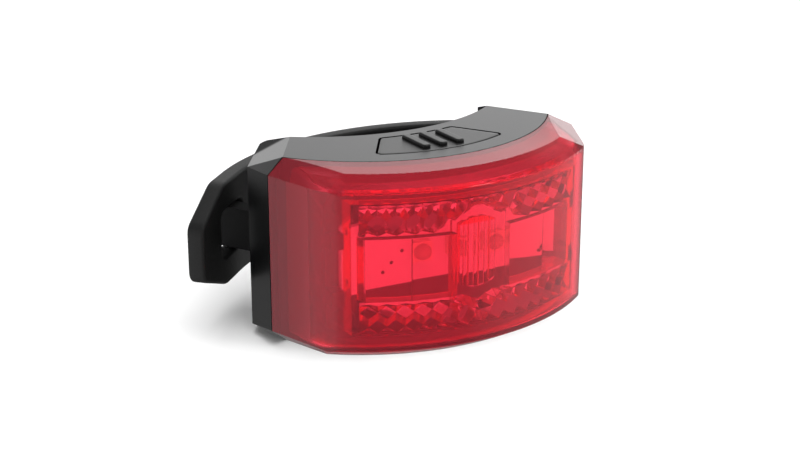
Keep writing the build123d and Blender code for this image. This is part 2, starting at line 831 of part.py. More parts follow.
# Four pan-head screws through the carrier into the housing's bosses
with BuildPart() as carrier_screws:
    with BuildSketch(facing_front(carrier_front_y)):
        with Locations(*boss_points):
            Circle(screw_head_radius)
    extrude(amount=screw_head_height)
    heads = carrier_screws.faces().filter_by(Axis.Y).sort_by(Axis.Y)[:4]
    fillet(heads.edges(), screw_head_round)
    with BuildSketch(facing_front(carrier_front_y)):
        with Locations(*boss_points):
            Circle(screw_shank_radius)
    extrude(amount=-(screw_length - screw_end_gap))
    with BuildSketch(facing_front(carrier_front_y - screw_head_height)):
        with Locations(*boss_points):
            Rectangle(cross_length, cross_width)
            Rectangle(cross_width, cross_length)
    extrude(amount=-cross_depth, mode=Mode.SUBTRACT)
carrier_screws.part.label = "carrier_screws"
export_step(carrier_screws.part, "parts/carrier_screws.step")

# Rechargeable cell and the foam pad between it and the housing's back
with BuildPart() as battery_cell:
    cell_mid = (cell_low + cell_high) / 2
    with BuildSketch(facing_front(cell_front_y)):
        with Locations((0, cell_mid)):
            RectangleRounded(2 * cell_half_length, cell_high - cell_low, cell_corner)
    extrude(amount=-(cell_back_y - cell_front_y))
    fillet(battery_cell.faces().filter_by(Axis.Y).edges(), cell_edge_round)
battery_cell.part.label = "battery_cell"
export_step(battery_cell.part, "parts/battery_cell.step")

with BuildPart() as battery_pad:
    with BuildSketch(Plane.XY.offset(cell_mid - battery_pad_half_height)):
        with BuildLine():
            inner_radius = saddle_radius + wall
            pad_end_y = saddle_centre_y - sqrt(inner_radius**2 - battery_pad_half**2)
            ThreePointArc(
                (-battery_pad_half, pad_end_y),
                (0, saddle_centre_y - inner_radius),
                (battery_pad_half, pad_end_y),
            )
            Polyline(
                (battery_pad_half, pad_end_y),
                (battery_pad_half, cell_back_y),
                (-battery_pad_half, cell_back_y),
                (-battery_pad_half, pad_end_y),
            )
        make_face()
    extrude(amount=2 * battery_pad_half_height)
battery_pad.part.label = "battery_pad"
export_step(battery_pad.part, "parts/battery_pad.step")

# Two leads from the cell's end to the charging board
for name, z in (("battery_lead_black", lead_z[0]), ("battery_lead_red", lead_z[1])):
    with BuildPart() as lead:
        with BuildLine() as route:
            FilletPolyline(
                (cell_half_length, lead_start_y, z),
                (lead_x, lead_start_y, z),
                (lead_x, charge_board_y, z),
                radius=lead_bend,
            )
        with BuildSketch(facing_right(cell_half_length)):
            with Locations((lead_start_y, z)):
                Circle(lead_radius)
        sweep()
    lead.part.label = name
    export_step(lead.part, f"parts/{name}.step")

# Charging board behind the right end face, with its socket and capacitors
with BuildPart() as charge_board:
    charge_board_x = (charge_board_left + charge_board_right) / 2
    charge_board_z = (charge_board_low + charge_board_high) / 2
    charge_board_width = charge_board_right - charge_board_left
    with BuildSketch(facing_front(charge_board_y)):
        with Locations((charge_board_x, charge_board_z)):
            RectangleRounded(charge_board_width, charge_board_high - charge_board_low, charge_board_corner)
    extrude(amount=-charge_board_thickness)
charge_board.part.label = "charge_board"
export_step(charge_board.part, "parts/charge_board.step")

with BuildPart() as charge_socket:
    with BuildSketch(facing_right(socket_front_x)):
        with Locations((port_y, port_z)):
            SlotOverall(socket_width, socket_height, rotation=90)
    extrude(amount=-socket_length)
    with BuildSketch(facing_right(socket_front_x)):
        with Locations((port_y, port_z)):
            SlotOverall(socket_width - 2 * socket_wall, socket_height - 2 * socket_wall, rotation=90)
            Rectangle(socket_tongue_thickness, socket_tongue_width, mode=Mode.SUBTRACT)
    extrude(amount=-(socket_length - socket_back), mode=Mode.SUBTRACT)
charge_socket.part.label = "charge_socket"
export_step(charge_socket.part, "parts/charge_socket.step")

with BuildPart() as board_capacitors:
    with BuildSketch(facing_front(charge_board_y)):
        with Locations(*capacitor_points):
            Rectangle(capacitor_size[0], capacitor_size[1])
    extrude(amount=capacitor_size[2])
board_capacitors.part.label = "board_capacitors"
export_step(board_capacitors.part, "parts/board_capacitors.step")

# Rubber flap over the socket: a plate, a plug on its inside and a hinge along its lower edge
with BuildPart() as port_flap:
    with BuildSketch(facing_right(end_face_x)):
        with Locations((port_y, (flap_pivot_z + flap_high) / 2)):
            Rectangle(2 * flap_half_width, flap_high - flap_pivot_z)
    extrude(amount=-flap_thickness)
    with BuildSketch(facing_front(port_y - flap_half_width)):
        with Locations((flap_pivot_x, flap_pivot_z)):
            Circle(flap_thickness / 2)
    extrude(amount=-2 * flap_half_width)
    with BuildSketch(facing_front(port_y - flap_half_width - stub_length)):
        with Locations((flap_pivot_x, flap_pivot_z)):
            Circle(stub_radius)
    extrude(amount=-2 * (flap_half_width + stub_length))
    with BuildSketch(facing_right(end_face_x - flap_thickness)):
        with Locations((port_y, port_z)):
            SlotOverall(socket_width - plug_clearance, socket_height - plug_clearance, rotation=90)
    extrude(amount=-plug_depth)
port_flap.part.label = "port_flap"
export_step(port_flap.part, "parts/port_flap.step")

# Steel pin of the strap, pressed into the ears
with BuildPart() as strap_pin:
    with BuildSketch(Plane.XY.offset(pin_low)):
        with Locations(pin):
            Circle(pin_radius)
    extrude(amount=pin_high - pin_low)
    chamfer(strap_pin.faces().filter_by(Axis.Z).edges(), pin_chamfer)
strap_pin.part.label = "strap_pin"
export_step(strap_pin.part, "parts/strap_pin.step")

# Rubber strap, moulded to shape: pull tab, wide arc, tight arc and the eye for the pin
tab_back = Vector(-cos(radians(tab_angle)), -sin(radians(tab_angle)))
tight_start = on_strap(tight_start_angle, strap_radius)
to_pin = Vector(pin[0] - tight_start[0], pin[1] - tight_start[1])
inwards = Vector(-sin(radians(tight_start_angle)), -cos(radians(tight_start_angle)))
tight_radius = to_pin.dot(to_pin) / (2 * to_pin.dot(inwards))
tight_centre = Vector(*tight_start) + inwards * tight_radius
tight_end_angle = degrees(atan2(pin[0] - tight_centre.X, pin[1] - tight_centre.Y))


def on_tight(angle, radius):
    """Plan point on the strap's tight arc, at an angle from +Y towards +X."""
    return (tight_centre.X + radius * sin(radians(angle)), tight_centre.Y + radius * cos(radians(angle)))


def on_tab(along, radius):
    """Plan point on the pull tab, a distance past the end of the wide arc."""
    start = Vector(*on_strap(-tab_angle, radius))
    place = start + tab_back * along
    return (place.X, place.Y)


outer_radius = strap_radius + strap_half
inner_radius_of_strap = strap_radius - strap_half
tight_mid_angle = (tight_start_angle + tight_end_angle) / 2
arc_mid_angle = (tight_start_angle - tab_angle) / 2
tab_plane = Plane(
    origin=(*on_tab(0, outer_radius + cut_margin), 0),
    x_dir=(tab_back.X, tab_back.Y, 0),
    z_dir=(-sin(radians(tab_angle)), cos(radians(tab_angle)), 0),
)
with BuildPart() as strap:
    with BuildSketch(Plane.XY.offset(strap_low)):
        with BuildLine():
            Line(on_tab(tab_length, outer_radius), on_tab(0, outer_radius))
            ThreePointArc(
                on_tab(0, outer_radius),
                on_strap(arc_mid_angle, outer_radius),
                on_strap(tight_start_angle, outer_radius),
            )
            ThreePointArc(
                on_strap(tight_start_angle, outer_radius),
                on_tight(tight_mid_angle, tight_radius + strap_half),
                on_tight(tight_end_angle, tight_radius + strap_half),
            )
            Line(
                on_tight(tight_end_angle, tight_radius + strap_half),
                on_tight(tight_end_angle, tight_radius - strap_half),
            )
            ThreePointArc(
                on_tight(tight_end_angle, tight_radius - strap_half),
                on_tight(tight_mid_angle, tight_radius - strap_half),
                on_strap(tight_start_angle, inner_radius_of_strap),
            )
            ThreePointArc(
                on_strap(tight_start_angle, inner_radius_of_strap),
                on_strap(arc_mid_angle, inner_radius_of_strap),
                on_tab(0, inner_radius_of_strap),
            )
            Line(on_tab(0, inner_radius_of_strap), on_tab(tab_length, inner_radius_of_strap))
            Line(on_tab(tab_length, inner_radius_of_strap), on_tab(tab_length, outer_radius))
        make_face()
    extrude(amount=strap_high - strap_low)
    # The band is cut back above and below the eye, to clear the ears
    for low, high in ((strap_low - overrun, eye_low), (eye_high, strap_high + overrun)):
        with BuildSketch(Plane.XY.offset(low)):
            with Locations(pin):
                Circle(ear_radius + ear_clearance)
        extrude(amount=high - low, mode=Mode.SUBTRACT)
    with BuildSketch(Plane.XY.offset(eye_low)):
        with Locations(pin):
            Circle(eye_radius)
    extrude(amount=eye_high - eye_low)
    with BuildSketch(Plane.XY.offset(eye_low - overrun)):
        with Locations(pin):
            Circle(pin_radius + running_gap)
    extrude(amount=eye_high - eye_low + 2 * overrun, mode=Mode.SUBTRACT)
    # The tab narrows towards its rounded tip
    with BuildSketch(tab_plane):
        with BuildLine():
            Polyline(
                (tab_full_length, strap_high),
                (tab_length, tab_tip_high),
                (tab_length + overrun, tab_tip_high),
                (tab_length + overrun, strap_high + overrun),
                (tab_full_length, strap_high + overrun),
                close=True,
            )
        make_face()
        with BuildLine():
            Polyline(
                (tab_full_length, strap_low),
                (tab_length, tab_tip_low),
                (tab_length + overrun, tab_tip_low),
                (tab_length + overrun, strap_low - overrun),
                (tab_full_length, strap_low - overrun),
                close=True,
            )
        make_face()
    extrude(amount=2 * cut_margin, both=True, mode=Mode.SUBTRACT)
    # Slot for the hook, longer than the hook so that the strap can be drawn off it
    with BuildSketch(tab_plane):
        with Locations(((slot_start + slot_end) / 2, (slot_low + slot_high) / 2)):
            RectangleRounded(slot_end - slot_start, slot_high - slot_low, slot_corner)
    extrude(amount=2 * cut_margin, both=True, mode=Mode.SUBTRACT)
strap.part.label = "strap"
export_step(strap.part, "parts/strap.step")
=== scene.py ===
import math

import bmesh
import bpy
import numpy as np
from bpy.props import FloatProperty, FloatVectorProperty, PointerProperty
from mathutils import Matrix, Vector


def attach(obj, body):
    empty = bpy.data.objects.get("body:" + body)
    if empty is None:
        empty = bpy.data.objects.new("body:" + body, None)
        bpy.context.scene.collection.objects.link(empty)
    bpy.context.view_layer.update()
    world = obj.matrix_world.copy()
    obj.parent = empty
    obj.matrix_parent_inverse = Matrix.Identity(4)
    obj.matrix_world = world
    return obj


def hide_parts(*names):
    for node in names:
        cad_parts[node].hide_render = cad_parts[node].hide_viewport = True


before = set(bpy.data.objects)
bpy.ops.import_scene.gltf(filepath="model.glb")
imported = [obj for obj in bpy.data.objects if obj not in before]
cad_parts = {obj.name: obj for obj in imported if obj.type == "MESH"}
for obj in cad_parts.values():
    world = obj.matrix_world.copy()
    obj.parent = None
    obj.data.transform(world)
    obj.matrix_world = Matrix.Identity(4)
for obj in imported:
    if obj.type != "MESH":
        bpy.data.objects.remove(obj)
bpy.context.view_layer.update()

bl_info = {
    "name": "Bicycle rear light",
    "version": (1, 0, 0),
    "blender": (4, 5, 0),
    "location": "3D View > Sidebar > Rear Light",
    "description": "Dresses the packed rear light: moulded lens, housing, push pad, strap and studio",
    "category": "Object",
}

MM = 0.001

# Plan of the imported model, in mm, in the shared frame. The front, the window panes, the back of the
# reflector's block and the seam are arcs about one centre on the Y axis, and the hollow back is an arc
# about another. The seam leaves its arc at the knee and runs straight to the end face.
FRONT_CENTRE_Y = 22.3
FRONT_RADIUS = 42.1
PANE_RADIUS = 40.1
BLOCK_RADIUS = 37.6
SEAM_RADIUS = 33.5
SEAM_KNEE = (26.8, 2.2)
SEAM_END = (30.65, 0.1)
CORNER = (25.9, -10.89)
CAVITY_END_X = 25.6
SADDLE_CENTRE_Y = 39.7
SADDLE_INNER_RADIUS = 36.0
HEIGHT = 33.0
WALL = 2.0

# Lens: windows with a crease down each, round middle lens, and rows of prisms as (name, low, high), whose
# cells have their true width at the lattice radius. The tools that cut the lens reach out of it, and the
# prisms' cutter starts within the cavity, with only a thin skin where the round middle lens is.
WINDOW_LOW = 10.9
WINDOW_HIGH = 21.9
WINDOW_INNER_X = 5.0
WINDOW_OUTER_X = 19.5
CREASE_X = 12.6
CREASE_HALF_WIDTH = 0.14
CREASE_DEPTH = 0.2
NOTCH_MOUTH = 0.3
CENTRE_LENS_Z = 17.4
CENTRE_LENS_RADIUS = 8.8
PRISM_ROWS = (("prisms_upper", 22.5, 27.6), ("prisms_lower", 5.4, 10.3))
PRISM_HALF_WIDTH = 20.9
LATTICE_RADIUS = 38.6
CUTTER_OUT = 1.0
CUTTER_SKIN = 0.02
TOOL_OUT = 3.0
TOOL_EDGE = 0.01
ROUNDER_OUT = 0.03
ROUNDER_BEHIND = 0.4
ROUNDER_CORNER = 0.2
LENS_SHARP = 9.0

# Clear plastic: refraction, a little under polycarbonate's typical 1.58, width of the flow clouds, and the
# roughness of the inner end walls with the X positions where it sets in
LENS_IOR = 1.49
FLOW_CLOUD = 14.0
END_ROUGHNESS = 0.22
END_START_X = 21.0
END_FULL_X = 22.5

# Grain of moulded surfaces: its depth as a share of its width, and the share by which it varies the gloss
GRAIN_DEPTH = 0.15
GLOSS_SPREAD = 0.15

# Seal: its outer and inner borders, each as how far it reaches past the knee, how far before the knee it
# turns, and its lowest level, the two levels at the end, and the highest. The steps are those of a
# border's eight sides.
SEAL_BORDERS = ((3.8, 0.2, 0.5, 3.4, 30.7, 32.5), (2.45, 0.6, 1.7, 3.5, 30.2, 31.3))
SEAL_HALF = 0.09
SEAL_CORNER = 0.5
SEAL_STEPS = (70, 5, 30, 5, 70, 5, 30, 5)

# Push pad: slab between two arcs, flange below the roof, post as (radius, level) pairs, and bars
PAD_FRONT_RADIUS = 29.5
PAD_FRONT_HALF = 12.5
PAD_FRONT_END_Y = -4.3
PAD_BACK_RADIUS = 36.6
PAD_BACK_HALF = 7.2
PAD_CORNER = 0.9
FLANGE_OUT = 0.8
FLANGE_DEPTH = 1.1
FLANGE_EDGE = 0.15
POST_Y = -1.6
POST = ((0, 27.6), (1.3, 27.6), (1.5, 27.8), (1.5, 30.2), (0, 30.2))
BAR_PLACES = (-3.35, 0.0, 3.35)
BAR_HALF = 0.8
BAR_FRONT_Y = -5.6
BAR_BACK_Y = 2.1
BAR_CORNER = 0.56
BAR_EDGE = 0.3
SUNK = 0.2
FINE_EDGE = 0.05

# Strap: its arcs in plan, its outline and slot as distances along it and levels, and the eye for the pin
PIN = np.array([30.131, 16.321])
STRAP_CENTRE = np.array([3.0, -11.5])
STRAP_RADIUS = 44.75
STRAP_HALF = 1.55
TAB_TURN = math.radians(44.5)
TIGHT_TURN = math.radians(25.0)
EYE_END = -68.2
NECK = -65.9
SLOT_PARTNER = -6.0
SHOULDER = 6.6
TIP = 16.9
STRAP_LOW = 7.1
STRAP_HIGH = 25.7
TIP_LOW = 11.2
TIP_HIGH = 20.9
STRAP_CORNER = 0.8
SHOULDER_RADIUS = 5.0
TIP_RADIUS = 2.2
SLOT = (-1.8, 8.3, 12.3, 20.7)
SLOT_CORNER = 1.2
STRAP_STEPS = (40, 180, 40, 16)
STRAP_ACROSS = 64
EYE_LOW = 9.6
EYE_HIGH = 23.2
EYE_BORE = 1.26
EYE_MOUTH = 1.5
EYE_RADIUS = 2.7
EYE_EDGE = 0.3

# Charge flap: plate, plug and ribs as (low, high) pairs in each direction, and the hinge along Y
FLAP_X = (29.65, 30.65)
FLAP_Y = (1.7, 6.3)
FLAP_Z = (10.0, 22.4)
FLAP_CORNER = 0.7
FLAP_EDGE = 0.2
FLAP_INNER_EDGE = 0.1
PLUG_X = (28.65, 29.8)
PLUG_Y = (2.5, 5.5)
PLUG_Z = (12.0, 20.8)
PLUG_CORNER = 1.45
PLUG_INNER_EDGE = 0.3
RIB_X = (30.4, 30.83)
RIB_Y = (2.5, 5.5)
RIB_LEVELS = (19.6, 20.4, 21.2)
RIB_HALF = 0.2
RIB_CORNER = 0.18
RIB_EDGE = 0.12
RIB_FOOT = 0.02
HINGE = (30.15, 0.0, 9.9)
BARREL_RADIUS = 0.5
STUB_RADIUS = 0.4
STUB_Y = (0.9, 7.1)

# Foam pad behind the cell
FOAM_HALF = 11.0
FOAM_FRONT_Y = 2.4
FOAM_LOW = 6.7
FOAM_HIGH = 18.7
FOAM_EDGE = 0.5
FOAM_COLUMNS = 49
FOAM_ROWS = 33

# Housing: the Y positions between which it turns matt. Lamp board: its plated holes, painted dark as their
# shade, at (x, z) points
MATT_FROM_Y = 12.5
MATT_FULL_Y = 14.5
MATT_EXTRA = 0.6
BOARD_HOLES = ((-10.2, 16.9), (-12.0, 15.1), (-13.5, 13.6), (16.9, 12.0), (18.6, 12.1), (11.2, 17.3))
BOARD_HOLE_RADIUS = 0.28
HOLE_FADE = 1.25

# Stage, in metres and degrees: the dome's base strength; the glow low in the room behind, as the heights
# between which it rises and fades; round lights as (way to it, cosines of its outer and inner edge,
# strength); softboxes as (name, place, size, watts); the floor's glow far off, as near and far distance
# and strength; and the camera
DOME_BASE = 0.25
GLOW_STRENGTH = 1.5
GLOW_RISE = (-0.12, 0.05)
GLOW_FADE = (0.12, 0.42)
GLOW_SIDE = ((0.6, 0.8, 0.0), 0.4, 0.8, 1.0)
ROUND_LIGHTS = (
    ((0.475, 0.62, 0.624), 0.915, 0.985, 1.5),
    ((0.475, 0.45, 0.756), 0.975, 0.992, 2.0),
    ((0.46, -0.545, 0.70), 0.985, 0.993, 4.0),
    ((-0.944, 0.0, -0.33), 0.5, 1.0, 0.7),
    ((0.95, -0.3, -0.1), 0.55, 0.95, 0.5),
)
SOFTBOXES = (
    ("overhead_softbox", (-0.1, -0.15, 0.9), 0.9, 9.0),
    ("front_softbox", (0.0, -0.8, 0.2), 0.5, 1.8),
)
LIT_POINT = (0, 0, 0.015)
FLOOR_HALF = 3.0
FLOOR_GLOW = (0.5, 1.8, 0.9)
CAMERA_PLACE = (-0.1421, -0.2342, 0.113)
CAMERA_DOWN = 19.318
CAMERA_ASIDE = 30.25
CAMERA_LENS = 74.25
CAMERA_SENSOR = 36


# Colours and nodes

def colour(text):
    """Linear RGBA of an sRGB hex colour."""
    parts = np.array([int(text[i:i + 2], 16) for i in (1, 3, 5)]) / 255
    linear = np.where(parts <= 0.04045, parts / 12.92, ((parts + 0.055) / 1.055) ** 2.4)
    return (*linear, 1.0)


def add(tree, kind, links=(), **settings):
    """Adds a node, sets its attributes and socket values by name, and links (socket, input name) pairs."""
    node = tree.nodes.new(kind)
    for key, value in settings.items():
        if hasattr(node, key):
            setattr(node, key, value)
        else:
            node.inputs[key.replace("_", " ")].default_value = value
    for source, name in links:
        tree.links.new(source, node.inputs[name])
    return node


def new_material(name):
    """Empty node material, as (material, tree)."""
    made = bpy.data.materials.new(name)
    made.use_nodes = True
    made.node_tree.nodes.clear()
    return made, made.node_tree


def show(tree, shader):
    """Links a shader to a new material output."""
    output = add(tree, "ShaderNodeOutputMaterial")
    tree.links.new(shader.outputs[0], output.inputs["Surface"])


def moulded(name, base, second, roughness, grain_mm, bump, cloud_mm=9.0, **extra):
    """Moulded plastic, rubber or paper: two close tones in soft clouds, and fine grain in height and gloss.
    Where the real grain is too fine to show, grain_mm is as coarse as it needs to be."""
    if name in bpy.data.materials:
        return bpy.data.materials[name]
    made, tree = new_material(name)
    place = add(tree, "ShaderNodeTexCoord").outputs["Object"]
    grain = add(tree, "ShaderNodeTexNoise", [(place, "Vector")],
                Scale=1 / (grain_mm * MM), Detail=3.0, Roughness=0.6)
    cloud = add(tree, "ShaderNodeTexNoise", [(place, "Vector")], Scale=1 / (cloud_mm * MM), Detail=2.0)
    tone = add(tree, "ShaderNodeMix", [(cloud.outputs["Fac"], "Factor")], data_type="RGBA")
    tone.inputs[6].default_value = base
    tone.inputs[7].default_value = second
    relief = add(tree, "ShaderNodeBump", [(grain.outputs["Fac"], "Height")],
                 Strength=bump, Distance=grain_mm * MM * GRAIN_DEPTH)
    rough = add(tree, "ShaderNodeMapRange", [(grain.outputs["Fac"], "Value")],
                To_Min=roughness * (1 - GLOSS_SPREAD), To_Max=roughness * (1 + GLOSS_SPREAD))
    shader = add(tree, "ShaderNodeBsdfPrincipled", [
        (tone.outputs[2], "Base Color"), (rough.outputs[0], "Roughness"),
        (relief.outputs[0], "Normal")], **extra)
    show(tree, shader)
    return made


def clear_plastic(name, tint, second, gloss=0.03, clarity=0.88):
    """Clear moulded plastic: slow flow clouds in the tint, polished, and duller on the inner walls of the
    two ends, which are the points far out in X that lie within the cavity's end walls and its front
    radius."""
    made, tree = new_material(name)
    place = add(tree, "ShaderNodeTexCoord").outputs["Object"]
    flow = add(tree, "ShaderNodeTexNoise", [(place, "Vector")], Scale=1 / (FLOW_CLOUD * MM), Detail=1.0)
    tone = add(tree, "ShaderNodeMix", [(flow.outputs["Fac"], "Factor")], data_type="RGBA")
    tone.inputs[6].default_value = tint
    tone.inputs[7].default_value = second
    parts = add(tree, "ShaderNodeSeparateXYZ", [(place, "Vector")])
    level = add(tree, "ShaderNodeCombineXYZ", [(parts.outputs["X"], "X"), (parts.outputs["Y"], "Y")])
    wide = add(tree, "ShaderNodeMath", [(parts.outputs["X"], 0)], operation="ABSOLUTE")
    reach = add(tree, "ShaderNodeVectorMath", [(level.outputs[0], 0)], operation="DISTANCE")
    reach.inputs[1].default_value = (0, FRONT_CENTRE_Y * MM, 0)
    end = add(tree, "ShaderNodeMapRange", [(wide.outputs[0], "Value")], interpolation_type="SMOOTHSTEP",
              From_Min=END_START_X * MM, From_Max=END_FULL_X * MM, To_Min=0.0, To_Max=1.0)
    inside = add(tree, "ShaderNodeMath", [(wide.outputs[0], 0)], operation="LESS_THAN")
    inside.inputs[1].default_value = (CAVITY_END_X + 0.15) * MM
    within = add(tree, "ShaderNodeMath", [(reach.outputs["Value"], 0)], operation="LESS_THAN")
    within.inputs[1].default_value = (PANE_RADIUS + 0.3) * MM
    both = add(tree, "ShaderNodeMath", [(inside.outputs[0], 0), (within.outputs[0], 1)], operation="MULTIPLY")
    dull = add(tree, "ShaderNodeMath", [(both.outputs[0], 0), (end.outputs[0], 1)], operation="MULTIPLY")
    rough = add(tree, "ShaderNodeMapRange", [(dull.outputs[0], "Value")], To_Min=gloss, To_Max=END_ROUGHNESS)
    shader = add(tree, "ShaderNodeBsdfPrincipled", [
        (tone.outputs[2], "Base Color"), (rough.outputs[0], "Roughness")],
        IOR=LENS_IOR, Transmission_Weight=clarity)
    show(tree, shader)
    return made


def link_into(material, name):
    """Tree of a made material, its shader, and what is linked to one of the shader's inputs."""
    tree = material.node_tree
    shader = next(node for node in tree.nodes if node.type == "BSDF_PRINCIPLED")
    links = shader.inputs[name].links
    return tree, shader, links[0].from_socket if links else None


def duller_behind(material, from_y, to_y, extra):
    """Makes a material rougher by extra from one Y position to another, and beyond."""
    tree, shader, gloss = link_into(material, "Roughness")
    place = add(tree, "ShaderNodeTexCoord").outputs["Object"]
    parts = add(tree, "ShaderNodeSeparateXYZ", [(place, "Vector")])
    behind = add(tree, "ShaderNodeMapRange", [(parts.outputs["Y"], "Value")], interpolation_type="SMOOTHSTEP",
                 From_Min=from_y * MM, From_Max=to_y * MM, To_Min=0.0, To_Max=extra)
    matt = add(tree, "ShaderNodeMath", [(behind.outputs[0], 0), (gloss, 1)], operation="ADD", use_clamp=True)
    tree.links.new(matt.outputs[0], shader.inputs["Roughness"])


def paint_hole_shade(material, holes, radius):
    """Painted shade of round holes on a board's material, at (x, z) points in mm: dark within radius of the
    nearest.
    """
    tree, shader, base = link_into(material, "Base Color")
    place = add(tree, "ShaderNodeTexCoord").outputs["Object"]
    parts = add(tree, "ShaderNodeSeparateXYZ", [(place, "Vector")])
    level = add(tree, "ShaderNodeCombineXYZ", [(parts.outputs["X"], "X"), (parts.outputs["Z"], "Y")])
    nearest = None
    for x, z in holes:
        away = add(tree, "ShaderNodeVectorMath", [(level.outputs[0], 0)], operation="DISTANCE")
        away.inputs[1].default_value = (x * MM, z * MM, 0)
        distance = away.outputs["Value"]
        if nearest is not None:
            nearer = add(tree, "ShaderNodeMath", [(nearest, 0), (distance, 1)], operation="MINIMUM")
            distance = nearer.outputs[0]
        nearest = distance
    edge = add(tree, "ShaderNodeMapRange", [(nearest, "Value")],
               From_Min=radius * MM, From_Max=radius * HOLE_FADE * MM, To_Min=1.0, To_Max=0.0)
    mixed = add(tree, "ShaderNodeMix", [(edge.outputs[0], "Factor")], data_type="RGBA")
    tree.links.new(base, mixed.inputs[6])
    mixed.inputs[7].default_value = colour("#1A1512")
    tree.links.new(mixed.outputs[2], shader.inputs["Base Color"])


def white_far_off(material, near, far, strength):
    """Lets a floor glow far from its middle, from one distance in metres to another."""
    tree, shader, _ = link_into(material, "Emission Strength")
    shader.inputs["Emission Color"].default_value = (1, 1, 1, 1)
    place = add(tree, "ShaderNodeTexCoord").outputs["Object"]
    away = add(tree, "ShaderNodeVectorMath", [(place, 0)], operation="LENGTH")
    glow = add(tree, "ShaderNodeMapRange", [(away.outputs["Value"], "Value")],
               interpolation_type="SMOOTHSTEP", From_Min=near, From_Max=far, To_Min=0.0, To_Max=strength)
    tree.links.new(glow.outputs[0], shader.inputs["Emission Strength"])


# Studio

def light_spot(tree, way, towards, dark, bright, power):
    """Soft round light of a dome: full power where the cosine between a direction and towards is above
    bright, none below dark, and a smooth step between."""
    reach = add(tree, "ShaderNodeVectorMath", [(way, 0)], operation="DOT_PRODUCT")
    reach.inputs[1].default_value = towards
    spot = add(tree, "ShaderNodeMapRange", [(reach.outputs["Value"], "Value")],
               interpolation_type="SMOOTHSTEP", From_Min=dark, From_Max=bright, To_Min=0.0, To_Max=power)
    return spot.outputs[0]


def studio_dome():
    """White world. Its strength is a base, plus a glow on one side that rises at the horizon and fades
    upwards, plus the round lights."""
    world = bpy.data.worlds.new("studio_dome")
    world.use_nodes = True
    tree = world.node_tree
    way = add(tree, "ShaderNodeTexCoord").outputs["Generated"]
    height = add(tree, "ShaderNodeSeparateXYZ", [(way, "Vector")]).outputs["Z"]
    light = light_spot(tree, way, *GLOW_SIDE)
    for (low, high), below, above in ((GLOW_FADE, GLOW_STRENGTH, 0.0), (GLOW_RISE, 0.0, 1.0)):
        step = add(tree, "ShaderNodeMapRange", [(height, "Value")], interpolation_type="SMOOTHSTEP",
                   From_Min=low, From_Max=high, To_Min=below, To_Max=above)
        product = add(tree, "ShaderNodeMath", [(light, 0), (step.outputs[0], 1)], operation="MULTIPLY")
        light = product.outputs[0]
    for spot in ROUND_LIGHTS:
        more = light_spot(tree, way, *spot)
        light = add(tree, "ShaderNodeMath", [(light, 0), (more, 1)], operation="ADD").outputs[0]
    total = add(tree, "ShaderNodeMath", [(light, 0)], operation="ADD")
    total.inputs[1].default_value = DOME_BASE
    background = tree.nodes["Background"]
    background.inputs["Color"].default_value = (1, 1, 1, 1)
    tree.links.new(total.outputs[0], background.inputs["Strength"])
    return world


# Surfaces as grids of points

def quads(rows, cols, wrap=False):
    """Corner numbers of the quads between neighbours of a rows by cols grid, its columns closed if wrap."""
    r = np.arange(rows - 1)[:, None]
    c = np.arange(cols if wrap else cols - 1)[None, :]
    after = (c + 1) % cols
    corners = np.stack(np.broadcast_arrays(
        r * cols + c, r * cols + after, (r + 1) * cols + after, (r + 1) * cols + c), axis=-1)
    return corners.reshape(-1, 4)


class Shell:
    """Points and quads of one closed surface, gathered from grids."""

    def __init__(self):
        self.points, self.faces, self.count = [], [], 0

    def grid(self, points, wrap=False):
        """Adds a (rows, cols, 3) array in mm, its columns closed if wrap."""
        rows, cols = points.shape[:2]
        self.points.append(points.reshape(-1, 3))
        self.faces.append(quads(rows, cols, wrap) + self.count)
        self.count += rows * cols
        return self


def make(name, shells, material, body, smooth=35.0, replaces=()):
    """Object in the shared frame from shells in mm: seams merged, normals outwards, soft below an angle."""
    points = np.concatenate([p for s in shells for p in s.points]) * MM
    starts = np.cumsum([0] + [s.count for s in shells[:-1]])
    faces = sum(((f + start).tolist() for s, start in zip(shells, starts) for f in s.faces), [])
    mesh = bpy.data.meshes.new(name)
    mesh.from_pydata(points, [], faces)
    work = bmesh.new()
    work.from_mesh(mesh)
    bmesh.ops.remove_doubles(work, verts=work.verts, dist=0.002 * MM)
    bmesh.ops.dissolve_degenerate(work, edges=work.edges, dist=0.0001 * MM)
    bmesh.ops.recalc_face_normals(work, faces=work.faces)
    work.to_mesh(mesh)
    work.free()
    mesh.shade_smooth()
    mesh.set_sharp_from_angle(angle=math.radians(smooth))
    made = bpy.data.objects.new(name, mesh)
    bpy.context.scene.collection.objects.link(made)
    mesh.materials.append(material)
    if body:
        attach(made, body)
    if replaces:
        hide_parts(*replaces)
    return made


